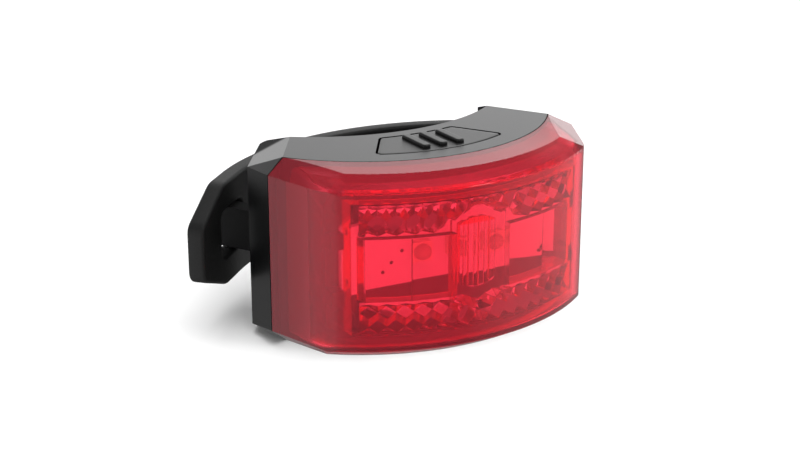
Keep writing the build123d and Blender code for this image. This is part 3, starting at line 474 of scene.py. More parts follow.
def rounded(corners, radius, arcs=6, spacing=0.9):
    """Closed outline of a polygon whose sides may be curves, each corner turned into an arc. Each side is
    a run of points; it is cut short by the tangent length, radius times the tangent of half the turn, and
    evenly divided again, and the arc between two sides is a circle's points from tangent to tangent.
    radius is one number, or one for the corner at the end of each side."""
    sides = [np.asarray(side, float) for side in corners]
    radii = np.broadcast_to(radius, len(sides))
    pieces = []
    cuts = []
    for side, after, r in zip(sides, sides[1:] + sides[:1], radii):
        a, b = side[-1] - side[-2], after[1] - after[0]
        a, b = a / np.linalg.norm(a), b / np.linalg.norm(b)
        turn = math.acos(np.clip(a @ b, -1, 1))
        cuts.append((r * math.tan(turn / 2), a, b, turn))
    for k, side in enumerate(sides):
        before, (cut, a, b, turn) = cuts[k - 1][0], cuts[k]
        steps = np.concatenate([[0], np.cumsum(np.linalg.norm(np.diff(side, axis=0), axis=1))])
        count = max(2, round((steps[-1] - cut - before) / spacing) + 1)
        along = np.linspace(before, steps[-1] - cut, count)
        pieces.append(np.stack([np.interp(along, steps, side[:, i]) for i in (0, 1)], axis=1))
        normal = np.array([-a[1], a[0]]) * np.sign(a[0] * b[1] - a[1] * b[0])
        middle = side[-1] - a * cut + normal * radii[k]
        angle = np.linspace(0, turn, arcs + 2)[1:-1, None]
        pieces.append(middle - normal * radii[k] * np.cos(angle) + a * radii[k] * np.sin(angle))
    return np.concatenate(pieces)


def straight(points):
    """Sides of a plain polygon, for rounded()."""
    points = np.asarray(points, float)
    return [np.stack([a, b]) for a, b in zip(points, np.roll(points, -1, axis=0))]


def box_outline(x0, x1, y0, y1, radius, **more):
    """Outline of a rectangle with rounded corners."""
    return rounded(straight([(x0, y0), (x1, y0), (x1, y1), (x0, y1)]), radius, **more)


def bow(half_width, end_y, middle_y, count=40):
    """Side of an outline on the arc through (-half_width, end_y), (0, middle_y) and (half_width, end_y)."""
    x = np.linspace(-half_width, half_width, count)
    rise = end_y - middle_y
    radius = (half_width**2 + rise**2) / (2 * abs(rise))
    return np.stack([x, middle_y + np.sign(rise) * (radius - np.sqrt(radius**2 - x**2))], axis=1)


def inward_normals(outline):
    """Unit normals of a closed outline, towards its inside, each across the line between two neighbours."""
    ahead, behind = np.roll(outline, -1, axis=0), np.roll(outline, 1, axis=0)
    tangent = ahead - behind
    tangent /= np.linalg.norm(tangent, axis=1)[:, None]
    area = np.sum(outline[:, 0] * ahead[:, 1] - ahead[:, 0] * outline[:, 1])
    return np.stack([-tangent[:, 1], tangent[:, 0]], axis=1) * np.sign(area)


def matched(outline, keys, counts):
    """Closed outline started at its point nearest to the first key, with counts[k] even steps after key k,
    so that two outlines with the same counts have partners."""
    nearest = [int(np.argmin(np.linalg.norm(outline - np.asarray(key, float), axis=1))) for key in keys]
    ring = np.roll(outline, -nearest[0], axis=0)
    ring = np.concatenate([ring, ring[:1]])
    steps = np.concatenate([[0], np.cumsum(np.linalg.norm(np.diff(ring, axis=0), axis=1))])
    stops = [steps[(k - nearest[0]) % len(outline)] for k in nearest] + [steps[-1]]
    along = np.concatenate([np.linspace(start, stop, count, endpoint=False)
                            for start, stop, count in zip(stops, stops[1:], counts)])
    return np.stack([np.interp(along, steps, ring[:, i]) for i in (0, 1)], axis=1)


def plate(outline, low, high, edge, turn=None, low_edge=None, steps=4):
    """Closed plate with rounded edges: a quarter circle, a straight side and a quarter circle carried
    round the outline, along its normals, and flat caps whose rings shrink to the middle. turn maps (x, y,
    z) to the frame."""
    low_edge = edge if low_edge is None else low_edge
    inwards = inward_normals(outline)
    angle = np.linspace(0, math.pi / 2, steps + 1)
    inset = np.concatenate([low_edge * (1 - np.sin(angle)), edge * (1 - np.cos(angle))])
    level = np.concatenate([low + low_edge * (1 - np.cos(angle)), high - edge * (1 - np.sin(angle))])
    side = outline[None] + inwards[None] * inset[:, None, None]
    middle = outline.mean(axis=0)
    shrink = np.array([0.0, 0.35, 0.7, 0.93])[:, None, None]
    bottom = middle + (side[0] - middle)[None] * shrink
    top = middle + (side[-1] - middle)[None] * shrink[::-1]
    plan = np.concatenate([bottom, side, top])
    levels = np.concatenate([np.full(len(shrink), level[0]), level, np.full(len(shrink), level[-1])])
    heights = np.broadcast_to(levels[:, None, None], plan.shape[:2] + (1,))
    points = np.concatenate([plan, heights], axis=2)
    if turn is not None:
        points = turn(points)
    return Shell().grid(points, wrap=True)


def lathe(profile, centre, axis="z", count=40):
    """Closed surface of revolution: (radius, height) pairs turned about an axis through centre."""
    profile = np.asarray(profile, float)
    angle = np.linspace(0, 2 * math.pi, count, endpoint=False)
    ring = np.stack([np.cos(angle), np.sin(angle)], axis=1)
    round_part = profile[:, None, :1] * ring[None]
    up = np.broadcast_to(profile[:, None, 1:], round_part.shape[:2] + (1,))
    order = {"z": (0, 1, 2), "y": (0, 2, 1)}[axis]
    points = np.concatenate([round_part, up], axis=2)[:, :, order]
    return Shell().grid(points + np.asarray(centre, float), wrap=True)


def sheet_pair(front, back):
    """Closed body between two sheets of the same grid: both sheets and four border strips between them."""
    shell = Shell().grid(front).grid(back)
    for edge in (lambda g: g[0], lambda g: g[-1], lambda g: g[:, 0], lambda g: g[:, -1]):
        shell.grid(np.stack([edge(front), edge(back)]))
    return shell


def along_strap(run, out):
    """Plan position on the strap. run is the distance in mm from the end of the wide arc, positive along
    the straight pull tab and negative round the wide arc, then round the tight arc to the pin; out is the
    distance from the middle of the band, away from the post."""
    start = STRAP_CENTRE + STRAP_RADIUS * np.array([math.sin(TIGHT_TURN), math.cos(TIGHT_TURN)])
    to_pin, inwards = PIN - start, -np.array([math.sin(TIGHT_TURN), math.cos(TIGHT_TURN)])
    tight = to_pin @ to_pin / (2 * to_pin @ inwards)
    wide_length = STRAP_RADIUS * (TAB_TURN + TIGHT_TURN)
    wide_angle = np.clip(-run, 0, wide_length) / STRAP_RADIUS - TAB_TURN
    tight_angle = TIGHT_TURN + np.clip(-run - wide_length, 0, None) / tight
    on_tight = -run > wide_length
    centre = np.where(on_tight[..., None], start + inwards * tight, STRAP_CENTRE)
    radius = np.where(on_tight, tight, STRAP_RADIUS) + out
    angle = np.where(on_tight, tight_angle, wide_angle)
    way = np.stack([np.sin(angle), np.cos(angle)], axis=-1)
    tab = np.clip(run, 0, None)[..., None] * np.array([-math.cos(TAB_TURN), -math.sin(TAB_TURN)])
    return centre + radius[..., None] * way + tab


def band_section(edge, across):
    """Section of the strap from its slot round to its slot again, as rows of (inset from the slot, inset
    from the outer edge, share of the way across, height over the middle): a rounded edge at the slot, the
    outer face, a rounded edge outside, and the inner face. Each rounded edge is two quarter circles and a
    straight side."""
    angle = np.linspace(0, math.pi / 2, 5)
    inset = edge * np.concatenate([1 - np.sin(angle), 1 - np.cos(angle)])
    height = (STRAP_HALF - edge) * np.repeat([-1, 1], len(angle))
    height = height + edge * np.concatenate([-np.cos(angle), np.sin(angle)])
    share = np.linspace(0, 1, across)[1:-1]
    rest = np.full(len(share), edge)
    full = np.full(len(share), STRAP_HALF)
    slot_rows = np.stack([inset, 0 * inset, 0 * inset, height], axis=1)
    face_rows = np.stack([rest, rest, share, full], axis=1)
    edge_rows = np.stack([0 * inset, inset[::-1], 1 + 0 * inset, height[::-1]], axis=1)
    back_rows = np.stack([rest, rest, share[::-1], -full], axis=1)
    return np.concatenate([slot_rows, face_rows, edge_rows, back_rows, slot_rows[:1]])


def cube_corner_cutter(low, high, half_width, cell, deep_radius):
    """Tool that leaves the prisms of a reflector behind it. Triangular lattice of columns half a cell
    apart; the height of point (i, k) is i + 2 k, mod 3, in steps, with k counted along the slant, so that
    every lattice triangle lies on a face of a cube stood on its corner. Heights go inwards from the deep
    radius, on the arc, and points within the round centre lens keep the cutter clear of the block."""
    spacing = cell / math.sqrt(3)
    step = spacing / math.sqrt(2)
    columns = int(2 * half_width / cell)
    i = np.arange(-columns, columns + 1)[:, None]
    j = np.arange(-1, int((high - low) / spacing) + 2)[None, :]
    z = np.clip(low + (j + 0.5 * (i % 2)) * spacing, low, high)
    radius = deep_radius - step * ((i + 2 * (j - i // 2)) % 3)
    angle = np.broadcast_to(i * cell / 2 / LATTICE_RADIUS, z.shape)
    round_lens = np.hypot(i * cell / 2, z - CENTRE_LENS_Z) < CENTRE_LENS_RADIUS
    radius = np.where(round_lens, BLOCK_RADIUS - CUTTER_OUT + CUTTER_SKIN, radius)

    def on_arc(r):
        """Points at the lattice's angles and levels, at a distance from the common centre."""
        return np.stack([r * np.sin(angle), FRONT_CENTRE_Y - r * np.cos(angle), z], axis=2)

    shell = sheet_pair(on_arc(radius), on_arc(np.full(z.shape, BLOCK_RADIUS - CUTTER_OUT)))
    corners = quads(*z.shape)
    rising = np.repeat(i[:-1, 0] % 2 == 0, z.shape[1] - 1)[:, None]
    first = np.where(rising, corners[:, [0, 1, 3]], corners[:, [0, 1, 2]])
    second = np.where(rising, corners[:, [1, 2, 3]], corners[:, [0, 2, 3]])
    shell.faces[0] = np.concatenate([first, second])
    return shell


def bare_copy(node, name, material):
    """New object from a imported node's triangles, its points merged and its flat areas joined to one face."""
    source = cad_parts[node].data
    points = np.empty(len(source.vertices) * 3)
    source.vertices.foreach_get("co", points)
    corners = np.empty(len(source.loops), dtype=np.int32)
    source.loops.foreach_get("vertex_index", corners)
    mesh = bpy.data.meshes.new(name)
    mesh.from_pydata(points.reshape(-1, 3), [], corners.reshape(-1, 3).tolist())
    work = bmesh.new()
    work.from_mesh(mesh)
    bmesh.ops.remove_doubles(work, verts=work.verts, dist=0.001 * MM)
    bmesh.ops.dissolve_limit(work, angle_limit=math.radians(0.3), verts=work.verts, edges=work.edges)
    work.to_mesh(mesh)
    work.free()
    made = bpy.data.objects.new(name, mesh)
    bpy.context.scene.collection.objects.link(made)
    mesh.materials.append(material)
    return made


def corner_rounder(radius, spare):
    """Plan outline just outside the lens, its two front corners turned into arcs; what lies beyond it is
    cut off. The front is an arc about the common centre, and each end is the straight line from its corner
    to the seam, carried on behind the lens."""
    reach = FRONT_RADIUS + spare
    x = np.linspace(-CORNER[0], CORNER[0], 60)
    front = np.stack([x, FRONT_CENTRE_Y - np.sqrt(reach**2 - x**2)], axis=1)
    beyond = np.array(SEAM_END) + ROUNDER_BEHIND * (np.array(SEAM_END) - np.array(CORNER))
    right = np.stack([front[-1], beyond + (spare, 0)])
    left = right[::-1] * (-1, 1)
    back = np.stack([right[-1], left[0]])
    return rounded([front, right, back, left], [radius, ROUNDER_CORNER, ROUNDER_CORNER, radius], arcs=7)


def apply_all(piece):
    """Puts what a piece's modifiers make into its mesh, and drops them."""
    bpy.context.view_layer.update()
    piece.data = bpy.data.meshes.new_from_object(piece.evaluated_get(bpy.context.evaluated_depsgraph_get()))
    piece.modifiers.clear()


def cut_with(piece, tools):
    """Cuts a piece by exact Booleans with (closed tool, operation) pairs in turn, and drops the tools."""
    for tool, operation in tools:
        cut = piece.modifiers.new(tool.name, "BOOLEAN")
        cut.operation = operation
        cut.solver = "EXACT"
        cut.object = tool
    apply_all(piece)
    for tool, _ in tools:
        bpy.data.objects.remove(tool)


def settle(piece, sharp):
    """Softens a piece below an angle and weights its normals by face area, so that flats stay flat."""
    weighted = piece.modifiers.new("weighted_normals", "WEIGHTED_NORMAL")
    weighted.keep_sharp = True
    weighted.weight = 100
    piece.data.shade_smooth()
    piece.data.set_sharp_from_angle(angle=math.radians(sharp))
    apply_all(piece)


def lens_slots(lens):
    """Material slot of each face of the lens, from where its middle lies and which way it looks: 1 for the
    joint on the seam's arc and straight ends, 2 for the prisms at the back of the block, 3 for the walls
    round the windows, which look across the arc's radius, and 0 for the rest. The spare tenths of a mm
    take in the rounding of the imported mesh."""
    faces = lens.data.polygons
    middles = np.empty(len(faces) * 3)
    normals = np.empty(len(faces) * 3)
    faces.foreach_get("center", middles)
    faces.foreach_get("normal", normals)
    x, y, z = middles.reshape(-1, 3).T / MM
    nx, ny, _ = normals.reshape(-1, 3).T
    wide = np.abs(x)
    reach = np.hypot(x, y - FRONT_CENTRE_Y)
    side = np.array(SEAM_END) - np.array(SEAM_KNEE)
    off = ((wide - SEAM_KNEE[0]) * side[1] - (y - SEAM_KNEE[1]) * side[0]) / np.linalg.norm(side)
    on_arc = (np.abs(reach - SEAM_RADIUS) < 0.25) & (wide < SEAM_KNEE[0] + 0.3)
    on_side = (np.abs(off) < 0.2) & (wide > SEAM_KNEE[0] - 0.3)
    behind = (reach > BLOCK_RADIUS - 0.6) & (reach < PANE_RADIUS + 0.2) & (wide < PRISM_HALF_WIDTH + 0.1)
    off_pane = np.abs(z - (WINDOW_LOW + WINDOW_HIGH) / 2) - (WINDOW_HIGH - WINDOW_LOW) / 2
    (_, _, highest), (_, lowest, _) = PRISM_ROWS
    prism = behind & (off_pane > 0.45) & (z > lowest - 0.2) & (z < highest + 0.2)
    prism &= np.hypot(x, z - CENTRE_LENS_Z) > CENTRE_LENS_RADIUS + 0.1
    across = np.abs((nx * x + ny * (y - FRONT_CENTRE_Y)) / reach) < 0.6
    in_window = (off_pane < 0.1) & (wide > WINDOW_INNER_X - 0.4) & (wide < WINDOW_OUTER_X + 0.4)
    reveal = behind & in_window & across
    return np.where(on_arc | on_side, 1, np.where(reveal, 3, np.where(prism, 2, 0))).astype(np.int32)


class LightSizes(bpy.types.PropertyGroup):
    """Sizes that a user would change."""

    cell: FloatProperty(name="Prism cell", description="Width of one reflector prism across its flats",
                        default=2.95 * MM, unit="LENGTH", precision=5)
    corner: FloatProperty(name="Lens corner", description="Radius of the lens's two upright front corners",
                          default=11.0 * MM, unit="LENGTH", precision=5)
    strap_edge: FloatProperty(name="Strap edge", description="Radius of the strap's rounded edges",
                              default=0.6 * MM, unit="LENGTH", precision=5)
    pad_edge: FloatProperty(name="Pad edge", description="Radius of the push pad's upper edge",
                            default=0.35 * MM, unit="LENGTH", precision=5)
    bar_height: FloatProperty(name="Bar height", description="Height of the raised bars on the push pad",
                              default=0.65 * MM, unit="LENGTH", precision=5)


class LightColours(bpy.types.PropertyGroup):
    """Colours that a user would change."""

    lens: FloatVectorProperty(
        name="Lens", description="Tint of the clear lens cover",
        subtype="COLOR", size=4, min=0, max=1, default=colour("#FF3A54"))
    housing: FloatVectorProperty(
        name="Housing", description="Moulded plastic of the housing",
        subtype="COLOR", size=4, min=0, max=1, default=colour("#0B0B0C"))
    rubber: FloatVectorProperty(
        name="Rubber", description="Rubber of the pad, flap and strap",
        subtype="COLOR", size=4, min=0, max=1, default=colour("#0A0A0A"))
    board: FloatVectorProperty(
        name="Lamp board", description="White solder resist of the lamp board",
        subtype="COLOR", size=4, min=0, max=1, default=colour("#F0EEE8"))


def give(material, *names):
    """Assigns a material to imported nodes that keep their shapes."""
    for name in names:
        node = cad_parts[name]
        node.data.materials.clear()
        node.data.materials.append(material)


class LightStage(bpy.types.Operator):
    """Plain pale floor, graded studio dome, two softboxes and the camera."""

    bl_idname = "rearlight.stage"
    bl_label = "Stage"

    def execute(self, context):
        scene = context.scene
        scene.view_settings.view_transform = "Standard"
        scene.world = studio_dome()
        sides = [(x * FLOOR_HALF, y * FLOOR_HALF, 0) for x, y in ((-1, -1), (1, -1), (1, 1), (-1, 1))]
        mesh = bpy.data.meshes.new("floor")
        mesh.from_pydata(sides, [], [(0, 1, 2, 3)])
        floor = bpy.data.objects.new("floor", mesh)
        scene.collection.objects.link(floor)
        # Uncoated paper: even matt white, which the glow keeps white far off
        paper = moulded("paper_matt_white", colour("#FFFFFF"), colour("#FCFCFC"), 0.9, 2.0, 0.02)
        white_far_off(paper, *FLOOR_GLOW)
        floor.data.materials.append(paper)
        floor.visible_glossy = False
        for name, place, size, power in SOFTBOXES:
            lamp = bpy.data.lights.new(name, "AREA")
            lamp.energy = power
            lamp.size = size
            holder = bpy.data.objects.new(name, lamp)
            holder.location = place
            holder.rotation_euler = (Vector(LIT_POINT) - Vector(place)).to_track_quat("-Z", "Y").to_euler()
            holder.visible_glossy = False
            holder.visible_transmission = False
            scene.collection.objects.link(holder)
        camera = bpy.data.cameras.new("camera")
        camera.lens = CAMERA_LENS
        camera.sensor_width = CAMERA_SENSOR
        camera.clip_start = 0.01
        camera.clip_end = 20
        holder = bpy.data.objects.new("camera", camera)
        holder.location = CAMERA_PLACE
        holder.rotation_euler = (math.radians(90 - CAMERA_DOWN), 0, math.radians(-CAMERA_ASIDE))
        scene.collection.objects.link(holder)
        scene.camera = holder
        return {"FINISHED"}


class LensCover(bpy.types.Operator):
    """Lens cover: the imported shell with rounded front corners, the reflector's prisms cut into the back of
    its block, and a fine notch down the crease of each window."""

    bl_idname = "rearlight.lens"
    bl_label = "Lens cover"

    def execute(self, context):
        sizes = context.scene.rearlight_sizes
        tint = tuple(context.scene.rearlight_colours.lens)
        # Polycarbonate from a polished tool: clear red with sharp highlights, and a little haze within
        red = clear_plastic("polycarbonate_red", tint, colour("#FF324C"))
        lens = bare_copy("lens_cover", "lens", red)
        outline = corner_rounder(sizes.corner / MM, ROUNDER_OUT)
        rounder = plate(outline, -TOOL_OUT, HEIGHT + TOOL_OUT, TOOL_EDGE)
        tools = [(make("rounder", [rounder], red, None), "INTERSECT")]
        for name, low, high in PRISM_ROWS:
            cutter = cube_corner_cutter(low, high, PRISM_HALF_WIDTH, sizes.cell / MM, PANE_RADIUS)
            tools.append((make(name, [cutter], red, None), "DIFFERENCE"))
        for name, x in (("crease_left", -CREASE_X), ("crease_right", CREASE_X)):
            y = FRONT_CENTRE_Y - math.sqrt(PANE_RADIUS**2 - x**2)
            half = CREASE_HALF_WIDTH
            corners = np.array(((-half, NOTCH_MOUTH), (0, -CREASE_DEPTH), (half, NOTCH_MOUTH))) + (x, y)
            notch = plate(corners, WINDOW_LOW + 0.1, WINDOW_HIGH - 0.1, TOOL_EDGE)
            tools.append((make(name, [notch], red, None), "DIFFERENCE"))
        cut_with(lens, tools)
        # The same plastic, dark and matt on the faces along the seam: a dark joint line, and painted shade
        # that keeps the lip from showing light from within
        seam_shade = moulded("polycarbonate_seam_painted_shade", colour("#3A1218"), colour("#2C0E12"), 0.5, 0.3, 0.4)
        # The same plastic on the prisms, in a tint and clarity of their own: painted light, brighter and
        # clearer, so that the cells glow and their edges sparkle
        prism = clear_plastic("polycarbonate_red_prism_painted_light", colour("#EC2C46"), colour("#E2243E"), 0.04, 0.95)
        # The same plastic on the walls round the windows: painted shade, a deeper red on these recess walls,
        # and slightly hazy as the tool left them
        wall = clear_plastic("polycarbonate_red_wall_painted_shade", colour("#C8102A"), colour("#B80E26"), 0.1, 0.85)
        for extra in (seam_shade, prism, wall):
            lens.data.materials.append(extra)
        lens.data.polygons.foreach_set("material_index", lens_slots(lens))
        settle(lens, LENS_SHARP)
        lens.visible_diffuse = False
        lens.visible_shadow = False
        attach(lens, "light_body")
        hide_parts("lens_cover")
        return {"FINISHED"}


class LensSeal(bpy.types.Operator):
    """Seal: a thin ring of soft rubber that follows the seam between the lens and the housing."""

    bl_idname = "rearlight.seal"
    bl_label = "Lens seal"

    def execute(self, context):
        arc = SEAM_RADIUS * math.asin(SEAM_KNEE[0] / SEAM_RADIUS)
        side = np.array(SEAM_END) - np.array(SEAM_KNEE)
        side = side / np.linalg.norm(side)

        def on_seam(run, out):
            """Plan position at a distance along the seam from its middle, round the arc and then straight
            on, moved out across it."""
            angle = np.clip(np.abs(run), 0, arc) / SEAM_RADIUS
            beyond = np.clip(np.abs(run) - arc, 0, None)
            way = np.stack([np.sin(angle), -np.cos(angle)], axis=-1)
            across = np.where((beyond > 0)[..., None], np.array([side[1], -side[0]]), way)
            base = np.array([0, FRONT_CENTRE_Y]) + SEAM_RADIUS * way + beyond[..., None] * side
            place = base + out * across
            return np.stack([place[..., 0] * np.where(run < 0, -1, 1), place[..., 1]], axis=-1)

        loops = []
        for past, before, low, end_low, end_top, top in SEAL_BORDERS:
            end, knee = arc + past, arc - before
            corners = [(-knee, low), (knee, low), (end, end_low), (end, end_top), (knee, top),
                       (-knee, top), (-end, end_top), (-end, end_low)]
            loops.append(matched(rounded(straight(corners), SEAL_CORNER), corners, SEAL_STEPS))
        outer, inner = loops
        rows = []
        for loop, side_of in ((outer, 1), (outer, -1), (inner, -1), (inner, 1), (outer, 1)):
            rows.append(np.concatenate([on_seam(loop[:, 0], side_of * SEAL_HALF), loop[:, 1:]], axis=1))
        make("seal", [Shell().grid(np.stack(rows), wrap=True)], soft_rubber(context), "light_body",
             replaces=["lens_seal"])
        return {"FINISHED"}


def soft_rubber(context):
    """Silicone rubber from a spark-eroded tool. It gives the eye a matt black with no shine lines; its
    grain is drawn coarser than the real one, which is too fine to show."""
    base = tuple(context.scene.rearlight_colours.rubber)
    return moulded("silicone_rubber_black", base, colour("#101010"), 0.36, 0.22, 0.2)


class PushPad(bpy.types.Operator):
    """Push pad: slab with three raised bars, the flange below the roof and the post down to the switch."""

    bl_idname = "rearlight.push_pad"
    bl_label = "Push pad"

    def execute(self, context):
        sizes = context.scene.rearlight_sizes
        back_y = SADDLE_CENTRE_Y - math.sqrt(PAD_BACK_RADIUS**2 - PAD_BACK_HALF**2)
        front = bow(PAD_FRONT_HALF, PAD_FRONT_END_Y, FRONT_CENTRE_Y - PAD_FRONT_RADIUS)
        back = bow(PAD_BACK_HALF, back_y, SADDLE_CENTRE_Y - PAD_BACK_RADIUS)[::-1]
        sides = [front, np.stack([front[-1], back[0]]), back, np.stack([back[-1], front[0]])]
        outline = rounded(sides, PAD_CORNER)
        flange = outline - inward_normals(outline) * FLANGE_OUT
        roof = HEIGHT - WALL
        shells = [
            plate(outline, roof - SUNK, HEIGHT, sizes.pad_edge / MM, low_edge=FINE_EDGE),
            plate(flange, roof - FLANGE_DEPTH, roof, FLANGE_EDGE),
            lathe(POST, (0, POST_Y, 0)),
        ]
        top = HEIGHT + sizes.bar_height / MM
        for x in BAR_PLACES:
            bar = box_outline(x - BAR_HALF, x + BAR_HALF, BAR_FRONT_Y, BAR_BACK_Y, BAR_CORNER)
            shells.append(plate(bar, HEIGHT - BAR_EDGE, top, BAR_EDGE, low_edge=FINE_EDGE))
        make("push_pad", shells, soft_rubber(context), "push_button", replaces=["button_pad"])
        return {"FINISHED"}


class Strap(bpy.types.Operator):
    """Strap: flat rubber band round the post, with a tapered pull tab, the hook's slot and the pin's eye."""

    bl_idname = "rearlight.strap"
    bl_label = "Strap"

    def execute(self, context):
        edge = context.scene.rearlight_sizes.strap_edge / MM
        slot = box_outline(*SLOT, SLOT_CORNER, spacing=0.2)
        corners = [(EYE_END, EYE_LOW), (NECK, EYE_LOW), (NECK, STRAP_LOW), (SHOULDER, STRAP_LOW),
                   (TIP, TIP_LOW), (TIP, TIP_HIGH), (SHOULDER, STRAP_HIGH), (NECK, STRAP_HIGH),
                   (NECK, EYE_HIGH), (EYE_END, EYE_HIGH)]
        tab_radii = [SHOULDER_RADIUS, TIP_RADIUS, TIP_RADIUS, SHOULDER_RADIUS]
        radii = [STRAP_CORNER] * 2 + tab_radii + [STRAP_CORNER] * 4
        outer = rounded(straight(corners), radii, spacing=0.4)
        start, end, low, high = SLOT
        slot_keys = [(end, high), (start, high), (start, low), (end, low)]
        edge_keys = [(TIP, TIP_HIGH), (SLOT_PARTNER, STRAP_HIGH), (SLOT_PARTNER, STRAP_LOW), (TIP, TIP_LOW)]
        inner_ring = matched(slot, slot_keys, STRAP_STEPS)
        outer_ring = matched(outer, edge_keys, STRAP_STEPS)
        inset_slot, inset_edge, share, height = band_section(edge, STRAP_ACROSS).T[:, :, None, None]
        inner = inner_ring - inward_normals(inner_ring) * inset_slot
        outward = outer_ring + inward_normals(outer_ring) * inset_edge
        place = inner + (outward - inner) * share
        out = np.broadcast_to(height[..., 0], place.shape[:2])
        points = np.concatenate([along_strap(place[..., 0], out), place[..., 1:]], axis=2)
        lower = [(EYE_BORE, EYE_EDGE), (EYE_MOUTH, 0), (EYE_RADIUS - EYE_EDGE, 0), (EYE_RADIUS, EYE_EDGE)]
        profile = [(radius, EYE_LOW + rise) for radius, rise in lower]
        profile += [(radius, EYE_HIGH - rise) for radius, rise in reversed(lower)] + profile[:1]
        eye = lathe(profile, (PIN[0], PIN[1], 0))
        # Natural rubber from a plain tool: dull black with a coarse soft grain
        rubber = moulded("natural_rubber_black", tuple(context.scene.rearlight_colours.rubber),
                         colour("#141414"), 0.6, 0.35, 0.6)
        make("strap_band", [Shell().grid(points, wrap=True), eye], rubber, "seatpost_strap",
             replaces=["strap"])
        return {"FINISHED"}


class ChargeFlap(bpy.types.Operator):
    """Flap over the charge socket: plate with grip ribs, plug, and hinge barrel with its stubs."""

    bl_idname = "rearlight.charge_flap"
    bl_label = "Charge flap"

    def execute(self, context):
        def sideways(points):
            """Plate drawn in Y and Z that grows along X."""
            return points[..., [2, 0, 1]]

        shells = []
        for x, y, z, corner, edge, inner_edge in (
            (FLAP_X, FLAP_Y, FLAP_Z, FLAP_CORNER, FLAP_EDGE, FLAP_INNER_EDGE),
            (PLUG_X, PLUG_Y, PLUG_Z, PLUG_CORNER, FINE_EDGE, PLUG_INNER_EDGE),
        ):
            shells.append(plate(box_outline(*y, *z, corner), *x, edge, turn=sideways, low_edge=inner_edge))
        for radius, (start, end) in ((BARREL_RADIUS, FLAP_Y), (STUB_RADIUS, STUB_Y)):
            profile = [(0, start), (radius, start), (radius, end), (0, end)]
            shells.append(lathe(profile, HINGE, axis="y", count=24))
        for level in RIB_LEVELS:
            rib = box_outline(*RIB_Y, level - RIB_HALF, level + RIB_HALF, RIB_CORNER)
            shells.append(plate(rib, *RIB_X, RIB_EDGE, turn=sideways, low_edge=RIB_FOOT))
        make("charge_flap", shells, soft_rubber(context), "charge_flap", replaces=["port_flap"])
        return {"FINISHED"}


class BatteryPad(bpy.types.Operator):
    """Foam pad between the cell and the curved back of the housing: a flat sheet and an arched one whose
    points crowd to the border, where a quarter circle pinches both."""

    bl_idname = "rearlight.battery_pad"
    bl_label = "Battery pad"

    def execute(self, context):
        u = (1 - np.cos(np.linspace(0, math.pi, FOAM_COLUMNS))) / 2
        v = (1 - np.cos(np.linspace(0, math.pi, FOAM_ROWS))) / 2
        x, z = np.meshgrid(FOAM_HALF * (2 * u - 1), FOAM_LOW + (FOAM_HIGH - FOAM_LOW) * v)
        border = np.minimum(np.minimum(FOAM_HALF - np.abs(x), z - FOAM_LOW), FOAM_HIGH - z)
        pinch = FOAM_EDGE - np.sqrt(FOAM_EDGE**2 - np.clip(FOAM_EDGE - border, 0, FOAM_EDGE) ** 2)
        back_y = SADDLE_CENTRE_Y - np.sqrt(SADDLE_INNER_RADIUS**2 - x**2)
        front = np.stack([x, FOAM_FRONT_Y + pinch, z], axis=2)
        back = np.stack([x, back_y - pinch, z], axis=2)
        # Closed-cell foam, cut from sheet: dull black with small open pores
        foam = moulded("foam_closed_cell_black", colour("#0C0C0C"), colour("#161616"), 0.9, 0.5, 0.9)
        pad = make("battery_foam", [sheet_pair(front, back)], foam, "light_body", replaces=["battery_pad"])
        return {"FINISHED"}


class Housing(bpy.types.Operator):
    """Housing, board carrier and pad retainer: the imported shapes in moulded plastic."""

    bl_idname = "rearlight.housing"
    bl_label = "Housing"

    def execute(self, context):
        base = tuple(context.scene.rearlight_colours.housing)
        # ABS from a finely etched tool: deep black with a soft sheen, and matt at the back round the hook
        satin = moulded("abs_black_satin", base, colour("#101011"), 0.3, 0.25, 0.15)
        duller_behind(satin, MATT_FROM_Y, MATT_FULL_Y, MATT_EXTRA)
        give(satin, "rear_housing", "button_retainer")
        # ABS from a plain tool: a flatter black behind the windows
        inner = moulded("abs_black_inner", base, colour("#101011"), 0.45, 0.3, 0.2)
        give(inner, "board_carrier")
        return {"FINISHED"}


class LampBoard(bpy.types.Operator):
    """Lamp board, its lamps with their domes, and the small parts soldered to it."""

    bl_idname = "rearlight.lamp_board"
    bl_label = "Lamp board"

    def execute(self, context):
        board = tuple(context.scene.rearlight_colours.board)
        # White solder resist, printed and baked: even white with a slight sheen, and small holes painted dark
        # as their shade
        resist = moulded("solder_resist_white", board, colour("#E6E4DE"), 0.4, 0.3, 0.1)
        paint_hole_shade(resist, BOARD_HOLES, BOARD_HOLE_RADIUS)
        give(resist, "led_board")
        # Lamp packages of white resin with yellow phosphor: a warm cream square
        package = moulded("lamp_package_white", colour("#EFE9D2"), colour("#EDE2B4"), 0.35, 0.3, 0.1)
        give(package, "led_left", "led_centre", "led_right")
        # Cast silicone over the lamps: smooth, milky and a little warmer than the board
        dome = moulded("silicone_frosted", colour("#C9BFA6"), colour("#BDB092"), 0.15, 0.3, 0.1)
        give(dome, "led_domes")
        # Fired ceramic chips with a dark glaze: small black blocks with a dull shine
        chip = moulded("ceramic_black", colour("#111112"), colour("#1B1B1C"), 0.4, 0.2, 0.1)
        give(chip, "board_resistors")
        return {"FINISHED"}


